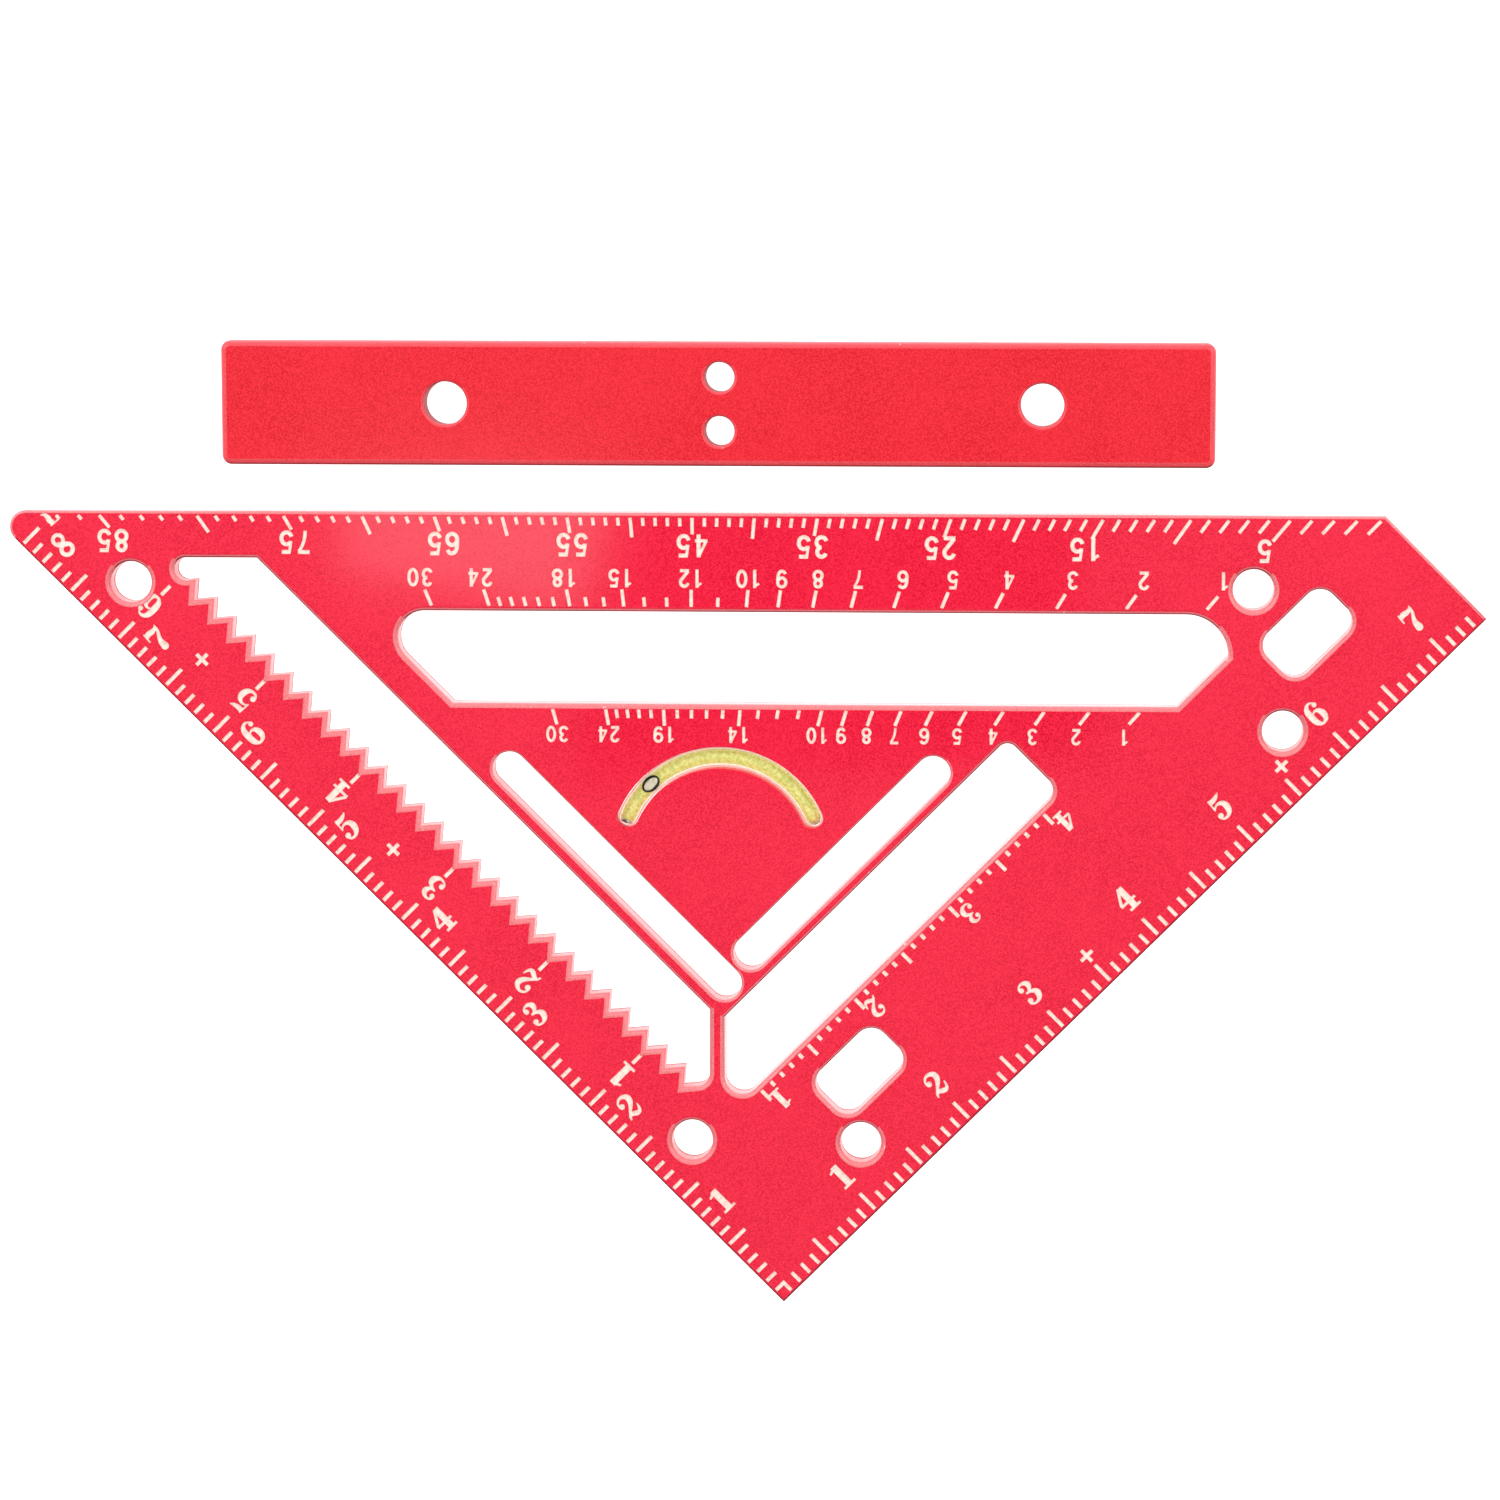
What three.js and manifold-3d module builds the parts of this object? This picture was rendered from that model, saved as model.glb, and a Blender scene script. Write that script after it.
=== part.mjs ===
// Speed square with a detachable fence bar, in millimetres, +Z up.
//
// The square lies flat. Its hypotenuse runs along X, its right-angled apex points to -Y, and the
// fence bar lies loose beside the hypotenuse, on the +Y side. The solids are laid out from the
// apex, and the finished group is then moved so that its origin is the bottom centre of its box.
//
// Most features follow one of the two legs, so their places are given in leg coordinates: `along`
// is the distance from the left leg, which is the distance travelled along the right leg, and
// `across` is the distance from the right leg. The apex is at along = 0, across = 0.

import * as THREE from 'three';
import { mergeVertices } from 'three/addons/utils/BufferGeometryUtils.js';
import Module from 'manifold-3d';

// ---- Driving dimensions -----------------------------------------------------------------------

const INCH = 25.4;

const THICKNESS = 6.35; // the square and the fence bar are cut from the same plate
const CHAMFER = 0.6; // broken edge round the square and every opening in it

const APEX_TO_HYPOTENUSE = 151.7;
const RIGHT_LEG_LENGTH = 187.85; // the right-hand tip is cut off square to the leg here
const TIP_RADIUS = 3;

const FENCE_LENGTH = 188.2;
const FENCE_WIDTH = 23.1;
const FENCE_CHAMFER = 0.9;
const FENCE_CORNER_RADIUS = 1.6;
const FENCE_GAP = 9.5; // from the hypotenuse to the loose bar
const FENCE_LEFT_X = -106.8;
const FENCE_BOLT_FROM_RIGHT = 32.5;
const FENCE_BOLT_SPACING = 113.2;
const FENCE_PAIR_FROM_LEFT = 94.6; // two small holes, side by side across the bar
const FENCE_PAIR_SPACING = 10.2;
const FENCE_PAIR_DIAMETER = 5.7;

const BOLT_DIAMETER = 8.2;
const FAR_BOLT_ALONG = 160.6;
const LEFT_BOLT_ALONG = 9.7;
const LEFT_BOLT_ACROSS = 186.2;

const WINDOW_LENGTH = 17.5;
const WINDOW_WIDTH = 11;
const WINDOW_RADIUS = 3.6;
const WINDOW_ACROSS = 21.6;
const WINDOWS_ALONG = [42.15, 162.1];

const LONG_SLOT_TOP_Y = 133.5;
const LONG_SLOT_BOTTOM_Y = 115.5;
const LONG_SLOT_LEFT_ALONG = 36.85; // its lower left end is parallel to the left leg
const LONG_SLOT_LEFT_RADIUS = 5.3;
const LONG_SLOT_RIGHT_X = 84.6;
const LONG_SLOT_RIGHT_RADIUS = 8.2;
const LONG_SLOT_RIGHT_ACROSS = 28.7; // its lower right corner is parallel to the right leg

const NOTCH_PITCH = INCH / 5;
const NOTCH_COUNT = 27;
const NOTCH_DEPTH = 3.05;
const NOTCH_VALLEY_ALONG = 15.4;
const FIRST_NOTCH_ACROSS = 43.14;
const TOOTHED_SLOT_TOP_Y = 143.4;
const TOOTHED_SLOT_ALONG = 30.3; // its straight side is parallel to the left leg
const TOOTHED_SLOT_END_RADIUS = 2.3;
const TOOTHED_SLOT_FOOT_RADIUS = 2.7;

const POST_LEFT_X = -14.1; // upright post between the toothed slot and the ruler slot
const POST_RIGHT_X = -11.55;

const RULER_SLOT_LOW_ACROSS = 33;
const RULER_SLOT_HIGH_ACROSS = 47.4;
const RULER_SLOT_END_ALONG = 107.7;
const RULER_SLOT_FOOT_RADIUS = 3.6;
const RULER_SLOT_LOW_RADIUS = 3.2;
const RULER_SLOT_HIGH_RADIUS = 2.3;

const THIN_SLOT_WIDTH = 7;
const LEFT_THIN_SLOT_ALONG = 35.8;
const LEFT_THIN_SLOT_ACROSS = [48.4, 113.5];
const RIGHT_THIN_SLOT_ALONG = [40, 96.3];
const RIGHT_THIN_SLOT_ACROSS = 52.5;

const VIAL_CENTRE = new THREE.Vector3(-12.2, 86.15, THICKNESS / 2);
const VIAL_ARC_RADIUS = 19.35;
const VIAL_HALF_SWEEP = THREE.MathUtils.degToRad(66);
const VIAL_RADIUS = 1.9;
const VIAL_BORE_RADIUS = 1.5;
const VIAL_PLAY = 0.15;
const LIQUID_RADIUS = 1.42;
const LIQUID_LEVEL = -0.4; // from the bore's centre line, just under the bubble's path
const SPIGOT_RADIUS = 1.3;
const SPIGOT_LENGTH = 2;
const BUBBLE_HALF_SIZE = [1.9, 1.25, 0.8]; // along, across and through the tube
const BUBBLE_RISE = 0.5; // above the bore's centre line
const BUBBLE_ANGLE = THREE.MathUtils.degToRad(133.7); // round the arc, from +X
const VIAL_SLOT_CHAMFER = 0.15;

const ARC_SEGMENTS = 5; // a rounded corner has twice as many facets
const VIAL_ARC_SEGMENTS = 10;
const TUBE_SIDES = 16;
const TUBE_STEPS = 18;
const DOME_STEPS = 4;
const BUBBLE_SIDES = 16;
const BUBBLE_RINGS = 10;
const OVERRUN = 0.4; // how far a cutting solid stands out of the faces that it cuts

// ---- Materials --------------------------------------------------------------------------------

const squareCoat = new THREE.MeshStandardMaterial({
  color: 0xf7344f, roughness: 0.45, metalness: 0.2,
});
const fenceCoat = new THREE.MeshStandardMaterial({
  color: 0xf23141, roughness: 0.45, metalness: 0.2,
});
const clearAcrylic = new THREE.MeshStandardMaterial({
  color: 0xe9ece6, roughness: 0.08, metalness: 0, transparent: true, opacity: 0.35,
});
const greenLiquid = new THREE.MeshStandardMaterial({
  color: 0xcdd769, roughness: 0.1, metalness: 0, transparent: true, opacity: 0.8,
});
const trappedAir = new THREE.MeshStandardMaterial({
  color: 0xf4f7e8, roughness: 0.05, metalness: 0, transparent: true, opacity: 0.5,
});
const greySealant = new THREE.MeshStandardMaterial({
  color: 0xc9cbc8, roughness: 0.6, metalness: 0,
});

// ---- Solids and meshes ------------------------------------------------------------------------

const wasm = await Module();
wasm.setup();

function toSolid(geometry) {
  const bare = geometry.clone();
  bare.deleteAttribute('normal');
  bare.deleteAttribute('uv');
  const merged = mergeVertices(bare, 1e-4);
  return new wasm.Manifold(new wasm.Mesh({
    numProp: 3,
    vertProperties: new Float32Array(merged.attributes.position.array),
    triVerts: new Uint32Array(merged.index.array),
  }));
}

function toGeometry(solid) {
  const { vertProperties, triVerts } = solid.getMesh();
  const geometry = new THREE.BufferGeometry();
  geometry.setAttribute('position', new THREE.BufferAttribute(vertProperties, 3));
  geometry.setIndex(new THREE.BufferAttribute(triVerts, 1));
  geometry.computeVertexNormals();
  return geometry;
}

function makePart(name, geometry, material) {
  const mesh = new THREE.Mesh(geometry, material);
  mesh.name = name;
  return mesh;
}

// ---- Outlines ---------------------------------------------------------------------------------

// One corner of an outline, rounded to a radius.
function corner(x, y, radius = 0) {
  return { point: new THREE.Vector2(x, y), radius };
}

function legCorner(along, across, radius = 0) {
  return corner((along - across) * Math.SQRT1_2, (along + across) * Math.SQRT1_2, radius);
}

// The x at height y on a line parallel to the left leg.
function leftLegX(along, y) {
  return along * Math.SQRT2 - y;
}

// The x at height y, and the y at x, on a line parallel to the right leg.
function rightLegX(across, y) {
  return y - across * Math.SQRT2;
}

function rightLegY(across, x) {
  return x + across * Math.SQRT2;
}

// A closed outline through its corners, each rounded by an arc tangent to the two sides.
function roundedOutline(corners) {
  const outline = new THREE.Shape();
  corners.forEach(({ point, radius }, index) => {
    if (radius === 0) {
      if (index === 0) outline.moveTo(point.x, point.y);
      else outline.lineTo(point.x, point.y);
      return;
    }
    const previous = corners.at(index - 1).point;
    const next = corners[(index + 1) % corners.length].point;
    const back = previous.clone().sub(point).normalize();
    const ahead = next.clone().sub(point).normalize();
    const halfAngle = Math.acos(back.dot(ahead)) / 2;
    const centre = back.clone().add(ahead).setLength(radius / Math.sin(halfAngle)).add(point);
    const setback = radius / Math.tan(halfAngle);
    const start = back.setLength(setback).add(point).sub(centre);
    const end = ahead.setLength(setback).add(point).sub(centre);
    const turnsRight = start.cross(end) < 0;
    outline.absarc(centre.x, centre.y, radius, start.angle(), end.angle(), turnsRight);
  });
  return outline;
}

function circleOutline({ point, radius }) {
  const outline = new THREE.Shape();
  outline.absarc(point.x, point.y, radius, 0, Math.PI, false);
  outline.absarc(point.x, point.y, radius, Math.PI, 2 * Math.PI, false);
  return outline;
}

// A straight slot with two full round ends, given by its two end points.
function slotOutline(start, end, width) {
  const outline = new THREE.Shape();
  const inset = end.clone().sub(start).setLength(width / 2);
  const heading = inset.angle();
  const first = start.clone().add(inset);
  const last = end.clone().sub(inset);
  const quarter = Math.PI / 2;
  outline.absarc(last.x, last.y, width / 2, heading - quarter, heading + quarter, false);
  outline.absarc(first.x, first.y, width / 2, heading + quarter, heading + 3 * quarter, false);
  return outline;
}

// A point on the vial's centre line, at an angle from +X.
function vialPoint(angle) {
  const arm = new THREE.Vector3(Math.cos(angle), Math.sin(angle), 0);
  return arm.multiplyScalar(VIAL_ARC_RADIUS).add(VIAL_CENTRE);
}

const VIAL_RIGHT_ANGLE = Math.PI / 2 - VIAL_HALF_SWEEP;
const VIAL_LEFT_ANGLE = Math.PI / 2 + VIAL_HALF_SWEEP;
const VIAL_LENGTH = 2 * VIAL_HALF_SWEEP * VIAL_ARC_RADIUS;
const LIQUID_END_ANGLE = VIAL_LEFT_ANGLE - (SPIGOT_LENGTH + VIAL_PLAY) / VIAL_ARC_RADIUS;

function vialSlotOutline() {
  const outline = new THREE.Shape();
  const halfWidth = VIAL_RADIUS + VIAL_PLAY;
  const { x, y } = VIAL_CENTRE;
  const [right, left] = [VIAL_RIGHT_ANGLE, VIAL_LEFT_ANGLE];
  const rightEnd = vialPoint(right);
  const leftEnd = vialPoint(left);
  outline.absarc(x, y, VIAL_ARC_RADIUS + halfWidth, right, left, false);
  outline.absarc(leftEnd.x, leftEnd.y, halfWidth, left, left + Math.PI, false);
  outline.absarc(x, y, VIAL_ARC_RADIUS - halfWidth, left, right, true);
  outline.absarc(rightEnd.x, rightEnd.y, halfWidth, right - Math.PI, right, false);
  return outline;
}

// ---- Plates with broken edges -----------------------------------------------------------------

function chamferedPlate(outline, chamfer) {
  const geometry = new THREE.ExtrudeGeometry(outline, {
    depth: THICKNESS - 2 * chamfer,
    bevelThickness: chamfer,
    bevelSize: chamfer,
    bevelOffset: -chamfer,
    bevelSegments: 1,
    curveSegments: ARC_SEGMENTS,
  });
  return toSolid(geometry.translate(0, 0, chamfer));
}

// The solid that cuts one opening: straight through, and flared where it leaves the two faces.
function openingCutter(outline, chamfer, curveSegments = ARC_SEGMENTS) {
  const through = new THREE.ExtrudeGeometry(outline, {
    depth: THICKNESS + 2 * OVERRUN,
    bevelEnabled: false,
    curveSegments,
  });
  through.translate(0, 0, -OVERRUN);
  const flare = new THREE.ExtrudeGeometry(outline, {
    depth: OVERRUN,
    bevelThickness: chamfer + OVERRUN,
    bevelSize: chamfer + OVERRUN,
    bevelSegments: 1,
    curveSegments,
  });
  const topFlare = flare.clone().translate(0, 0, THICKNESS + OVERRUN);
  const bottomFlare = flare.clone().translate(0, 0, -2 * OVERRUN);
  return toSolid(through).add(toSolid(topFlare)).add(toSolid(bottomFlare));
}

// ---- The square -------------------------------------------------------------------------------

function squareOutline() {
  const cutTopX = leftLegX(RIGHT_LEG_LENGTH, APEX_TO_HYPOTENUSE);
  return roundedOutline([
    legCorner(0, 0),
    legCorner(RIGHT_LEG_LENGTH, 0),
    corner(cutTopX, APEX_TO_HYPOTENUSE),
    corner(-APEX_TO_HYPOTENUSE, APEX_TO_HYPOTENUSE, TIP_RADIUS),
  ]);
}

function longSlotOutline() {
  const [top, bottom, rightX] = [LONG_SLOT_TOP_Y, LONG_SLOT_BOTTOM_Y, LONG_SLOT_RIGHT_X];
  return roundedOutline([
    corner(leftLegX(LONG_SLOT_LEFT_ALONG, bottom), bottom),
    corner(rightLegX(LONG_SLOT_RIGHT_ACROSS, bottom), bottom),
    corner(rightX, rightLegY(LONG_SLOT_RIGHT_ACROSS, rightX)),
    corner(rightX, top, LONG_SLOT_RIGHT_RADIUS),
    corner(leftLegX(LONG_SLOT_LEFT_ALONG, top), top, LONG_SLOT_LEFT_RADIUS),
  ]);
}

// V notches for a pencil point, along the side nearest the left leg. The flank beyond the last
// notch at each end runs on into a rounded corner.
function toothedSlotOutline() {
  const top = TOOTHED_SLOT_TOP_Y;
  const valley = (index, radius = 0) => (
    legCorner(NOTCH_VALLEY_ALONG, FIRST_NOTCH_ACROSS + index * NOTCH_PITCH, radius)
  );
  const tooth = (index) => legCorner(
    NOTCH_VALLEY_ALONG + NOTCH_DEPTH,
    FIRST_NOTCH_ACROSS + (index + 0.5) * NOTCH_PITCH,
  );
  const leftEnd = valley(NOTCH_COUNT, TOOTHED_SLOT_END_RADIUS);
  const corners = [
    corner(POST_LEFT_X, TOOTHED_SLOT_ALONG * Math.SQRT2 - POST_LEFT_X),
    corner(leftLegX(TOOTHED_SLOT_ALONG, top), top),
    corner(leftEnd.point.x, top, TOOTHED_SLOT_END_RADIUS),
    leftEnd,
  ];
  for (let index = NOTCH_COUNT - 1; index >= 0; index -= 1) {
    corners.push(tooth(index), valley(index));
  }
  const lowest = valley(0).point;
  const flank = tooth(-1).point.clone().sub(lowest);
  const footY = lowest.y + flank.y * (POST_LEFT_X - lowest.x) / flank.x;
  corners.push(corner(POST_LEFT_X, footY, TOOTHED_SLOT_FOOT_RADIUS));
  return roundedOutline(corners);
}

function rulerSlotOutline() {
  const [low, high, end] = [RULER_SLOT_LOW_ACROSS, RULER_SLOT_HIGH_ACROSS, RULER_SLOT_END_ALONG];
  return roundedOutline([
    corner(POST_RIGHT_X, rightLegY(low, POST_RIGHT_X), RULER_SLOT_FOOT_RADIUS),
    legCorner(end, low, RULER_SLOT_LOW_RADIUS),
    legCorner(end, high, RULER_SLOT_HIGH_RADIUS),
    corner(POST_RIGHT_X, rightLegY(high, POST_RIGHT_X)),
  ]);
}

function thinSlotOutlines() {
  const [lower, upper] = LEFT_THIN_SLOT_ACROSS;
  const [inner, outer] = RIGHT_THIN_SLOT_ALONG;
  const left = [legCorner(LEFT_THIN_SLOT_ALONG, lower), legCorner(LEFT_THIN_SLOT_ALONG, upper)];
  const right = [legCorner(inner, RIGHT_THIN_SLOT_ACROSS), legCorner(outer, RIGHT_THIN_SLOT_ACROSS)];
  return [left, right].map(([start, end]) => slotOutline(start.point, end.point, THIN_SLOT_WIDTH));
}

function windowOutlines() {
  const [halfLength, halfWidth] = [WINDOW_LENGTH / 2, WINDOW_WIDTH / 2];
  return WINDOWS_ALONG.map((along) => roundedOutline([
    legCorner(along - halfLength, WINDOW_ACROSS - halfWidth, WINDOW_RADIUS),
    legCorner(along + halfLength, WINDOW_ACROSS - halfWidth, WINDOW_RADIUS),
    legCorner(along + halfLength, WINDOW_ACROSS + halfWidth, WINDOW_RADIUS),
    legCorner(along - halfLength, WINDOW_ACROSS + halfWidth, WINDOW_RADIUS),
  ]));
}

// Two bolt holes take the fence along the right leg, two more lie half a fence width further in,
// and one is near the left tip.
function boltHoleOutlines() {
  const seatAcross = FENCE_WIDTH / 2;
  const innerAcross = FENCE_WIDTH * 1.5;
  const radius = BOLT_DIAMETER / 2;
  return [
    legCorner(FENCE_BOLT_FROM_RIGHT, seatAcross, radius),
    legCorner(FENCE_BOLT_FROM_RIGHT + FENCE_BOLT_SPACING, seatAcross, radius),
    legCorner(LEFT_BOLT_ALONG, innerAcross, radius),
    legCorner(FAR_BOLT_ALONG, innerAcross, radius),
    legCorner(LEFT_BOLT_ALONG, LEFT_BOLT_ACROSS, radius),
  ].map(circleOutline);
}

function makeSquare() {
  const openings = [
    longSlotOutline(),
    toothedSlotOutline(),
    rulerSlotOutline(),
    ...thinSlotOutlines(),
    ...windowOutlines(),
    ...boltHoleOutlines(),
  ];
  let plate = chamferedPlate(squareOutline(), CHAMFER);
  for (const outline of openings) plate = plate.subtract(openingCutter(outline, CHAMFER));
  plate = plate.subtract(openingCutter(vialSlotOutline(), VIAL_SLOT_CHAMFER, VIAL_ARC_SEGMENTS));
  return toGeometry(plate);
}

// ---- The fence bar ----------------------------------------------------------------------------

function makeFenceBar() {
  const lowY = APEX_TO_HYPOTENUSE + FENCE_GAP;
  const highY = lowY + FENCE_WIDTH;
  const midY = (lowY + highY) / 2;
  const rightX = FENCE_LEFT_X + FENCE_LENGTH;
  const boltX = rightX - FENCE_BOLT_FROM_RIGHT;
  const pairX = FENCE_LEFT_X + FENCE_PAIR_FROM_LEFT;
  const holes = [
    corner(boltX, midY, BOLT_DIAMETER / 2),
    corner(boltX - FENCE_BOLT_SPACING, midY, BOLT_DIAMETER / 2),
    corner(pairX, midY - FENCE_PAIR_SPACING / 2, FENCE_PAIR_DIAMETER / 2),
    corner(pairX, midY + FENCE_PAIR_SPACING / 2, FENCE_PAIR_DIAMETER / 2),
  ];
  const outline = roundedOutline([
    corner(FENCE_LEFT_X, lowY, FENCE_CORNER_RADIUS),
    corner(rightX, lowY, FENCE_CORNER_RADIUS),
    corner(rightX, highY, FENCE_CORNER_RADIUS),
    corner(FENCE_LEFT_X, highY, FENCE_CORNER_RADIUS),
  ]);
  let bar = chamferedPlate(outline, FENCE_CHAMFER);
  for (const hole of holes) bar = bar.subtract(openingCutter(circleOutline(hole), CHAMFER));
  return toGeometry(bar);
}

// ---- The arc vial -----------------------------------------------------------------------------

class VialArc extends THREE.Curve {
  getPoint(t, target = new THREE.Vector3()) {
    return target.copy(vialPoint(THREE.MathUtils.lerp(VIAL_RIGHT_ANGLE, LIQUID_END_ANGLE, t)));
  }
}

// Bends a turned shape round the vial's arc, so that its axis follows the centre line. Heights
// along the axis are measured from the right-hand end of the arc.
function bendRoundVial(turned) {
  const position = turned.attributes.position;
  for (let index = 0; index < position.count; index += 1) {
    const angle = VIAL_RIGHT_ANGLE + position.getY(index) / VIAL_ARC_RADIUS;
    const radius = VIAL_ARC_RADIUS + position.getX(index);
    position.setXYZ(
      index,
      VIAL_CENTRE.x + radius * Math.cos(angle),
      VIAL_CENTRE.y + radius * Math.sin(angle),
      VIAL_CENTRE.z + position.getZ(index),
    );
  }
  turned.computeVertexNormals();
  return turned;
}

// Half a bar's profile: a dome at height 0, then evenly spaced points up to the given height.
function domedProfile(radius, height) {
  const profile = [];
  for (let step = 0; step < DOME_STEPS; step += 1) {
    const angle = (step / DOME_STEPS) * (Math.PI / 2);
    profile.push(new THREE.Vector2(radius * Math.sin(angle), -radius * Math.cos(angle)));
  }
  for (let step = 0; step <= TUBE_STEPS; step += 1) {
    profile.push(new THREE.Vector2(radius, (step / TUBE_STEPS) * height));
  }
  return profile;
}

// The tube is closed by a dome at its right-hand end and open at its left-hand end.
function makeVialTube() {
  const outside = domedProfile(VIAL_RADIUS, VIAL_LENGTH);
  const bore = domedProfile(VIAL_BORE_RADIUS, VIAL_LENGTH).reverse();
  return bendRoundVial(new THREE.LatheGeometry([...outside, ...bore], TUBE_SIDES));
}

// The liquid is drawn up to the level of the bubble's underside, so that the bubble can travel.
// The section's x axis points down.
function makeVialLiquid() {
  const section = new THREE.Shape();
  const halfAngle = Math.acos(-LIQUID_LEVEL / LIQUID_RADIUS);
  section.absarc(0, 0, LIQUID_RADIUS, -halfAngle, halfAngle, false);
  return new THREE.ExtrudeGeometry(section, {
    extrudePath: new VialArc(),
    steps: TUBE_STEPS,
    curveSegments: TUBE_SIDES / 4,
  });
}

// A moulded plug: a spigot in the bore, a shoulder against the tube's end and a domed outside.
function makeEndPlug() {
  const shoulderAngle = Math.asin(VIAL_PLAY / VIAL_RADIUS);
  const profile = [
    new THREE.Vector2(0, -SPIGOT_LENGTH),
    new THREE.Vector2(SPIGOT_RADIUS, -SPIGOT_LENGTH),
    new THREE.Vector2(SPIGOT_RADIUS, VIAL_PLAY),
  ];
  for (let step = 0; step < DOME_STEPS; step += 1) {
    const angle = THREE.MathUtils.lerp(shoulderAngle, Math.PI / 2, step / DOME_STEPS);
    profile.push(new THREE.Vector2(VIAL_RADIUS * Math.cos(angle), VIAL_RADIUS * Math.sin(angle)));
  }
  profile.push(new THREE.Vector2(0, VIAL_RADIUS));
  const plug = new THREE.LatheGeometry(profile, TUBE_SIDES);
  return bendRoundVial(plug.translate(0, VIAL_LENGTH, 0));
}

function makeBubble() {
  const [along, across, through] = BUBBLE_HALF_SIZE;
  return new THREE.SphereGeometry(1, BUBBLE_SIDES, BUBBLE_RINGS).scale(across, along, through);
}

// ---- Assembly ---------------------------------------------------------------------------------

const bubble = makePart('vial_bubble', makeBubble(), trappedAir);
bubble.rotation.z = BUBBLE_ANGLE;
bubble.position.copy(vialPoint(BUBBLE_ANGLE));
bubble.position.z += BUBBLE_RISE;

const vial = new THREE.Group();
vial.add(makePart('vial_tube', makeVialTube(), clearAcrylic));
vial.add(makePart('vial_liquid', makeVialLiquid(), greenLiquid));
vial.add(makePart('vial_end_plug', makeEndPlug(), greySealant));
vial.add(bubble);

const speedSquare = new THREE.Group();
speedSquare.add(makePart('square_plate', makeSquare(), squareCoat));
speedSquare.add(makePart('fence_bar', makeFenceBar(), fenceCoat));
speedSquare.add(vial);

const box = new THREE.Box3().setFromObject(speedSquare);
const middle = box.getCenter(new THREE.Vector3());
speedSquare.position.set(-middle.x, -middle.y, -box.min.z);
speedSquare.updateMatrixWorld(true);

export default speedSquare;
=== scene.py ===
"""Looks for a speed square with a detachable fence bar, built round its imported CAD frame.

The frame is in metres: +X along the hypotenuse, +Y from the right-angled apex to the fence bar,
+Z up, with the origin at the bottom centre of the whole group. Outlines and engraved marks are
laid out in millimetres on the plane of the top face, from the apex, and turned into metres when
a mesh is made.

Most of them follow one of the two legs, so their places are given in leg coordinates: `along` is
the distance from the left leg, which is the distance travelled along the right leg, and `across`
is the distance from the right leg.
"""

import math

import bpy
from mathutils import Matrix, Vector
from mathutils.geometry import delaunay_2d_cdt


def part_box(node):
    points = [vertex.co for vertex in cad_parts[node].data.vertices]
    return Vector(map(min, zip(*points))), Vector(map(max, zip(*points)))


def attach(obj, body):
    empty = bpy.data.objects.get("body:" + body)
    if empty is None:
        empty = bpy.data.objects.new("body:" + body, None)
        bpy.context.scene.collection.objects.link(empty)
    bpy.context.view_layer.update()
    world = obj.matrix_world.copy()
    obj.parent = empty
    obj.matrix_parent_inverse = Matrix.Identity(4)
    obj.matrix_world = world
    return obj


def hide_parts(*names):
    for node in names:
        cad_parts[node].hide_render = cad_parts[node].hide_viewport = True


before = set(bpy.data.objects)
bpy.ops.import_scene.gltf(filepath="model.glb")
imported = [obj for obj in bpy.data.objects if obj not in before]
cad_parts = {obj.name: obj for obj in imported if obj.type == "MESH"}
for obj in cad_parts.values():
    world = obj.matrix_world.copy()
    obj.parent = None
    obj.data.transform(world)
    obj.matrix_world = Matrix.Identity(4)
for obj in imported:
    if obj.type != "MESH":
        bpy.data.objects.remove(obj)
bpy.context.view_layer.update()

# ---- Dimensions, in millimetres ---------------------------------------------------------------

MM = 0.001
INCH = 25.4
ROOT_HALF = math.sqrt(0.5)

plate_low, plate_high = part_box("square_plate")
bar_low, bar_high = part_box("fence_bar")

RIGHT_LEG_LENGTH = 187.85
APEX_X = plate_high.x / MM - RIGHT_LEG_LENGTH * ROOT_HALF
APEX_Y = plate_low.y / MM
THICKNESS = plate_high.z / MM
HYPOTENUSE_Y = plate_high.y / MM - APEX_Y
TIP_RADIUS = 3.0

COAT_THICKNESS = 0.2
HYPOTENUSE_EXTRA = 0.25  # fitted: how much further out than the coat this edge is drawn
OUTER_EDGE_RADIUS = 0.55
EDGE_RADIUS = 0.92
# Smaller, because rounded edges of neighbouring openings would overlap.
RULER_SLOT_EDGE_RADIUS = 0.85
WINDOW_EDGE_RADIUS = 0.75
THIN_SLOT_EDGE_RADIUS = 0.5
VIAL_SLOT_EDGE_RADIUS = 0.15
BAR_EDGE_RADIUS = 1.1
BAR_HOLE_EDGE_RADIUS = 0.5
BAR_CORNER_RADIUS = 1.6
BAR_BOLT_FROM_RIGHT = 32.5
BAR_BOLT_SPACING = 113.2
BAR_PAIR_FROM_LEFT = 94.6
BAR_PAIR_SPACING = 10.2
BAR_PAIR_RADIUS = 2.85
BOLT_RADIUS = 4.1

NOTCH_PITCH = INCH / 5
NOTCH_COUNT = 27
NOTCH_DEPTH = 3.05
NOTCH_VALLEY_ALONG = 15.4
FIRST_NOTCH_ACROSS = 43.14

LONG_SLOT_TOP_Y = 133.5
LONG_SLOT_BOTTOM_Y = 115.5
RULER_SLOT_LOW_ACROSS = 33.0

VIAL_CENTRE = Vector((-12.2, 86.15))
VIAL_ARC_RADIUS = 19.35
VIAL_HALF_SWEEP = math.radians(66)
VIAL_RADIUS = 1.9
VIAL_PLAY = 0.15

MARK_DEPTH = 0.12
MARK_MARGIN = 0.05  # plain coat left between a mark and the edge of the face
TICK_WIDTH = 0.75
FINE_TICK_WIDTH = 0.68


def to_frame(point, z=0.0):
    """A point on the layout plane, in millimetres from the apex, as a place in the frame."""
    return Vector(((point.x + APEX_X) * MM, (point.y + APEX_Y) * MM, z * MM))


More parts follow.
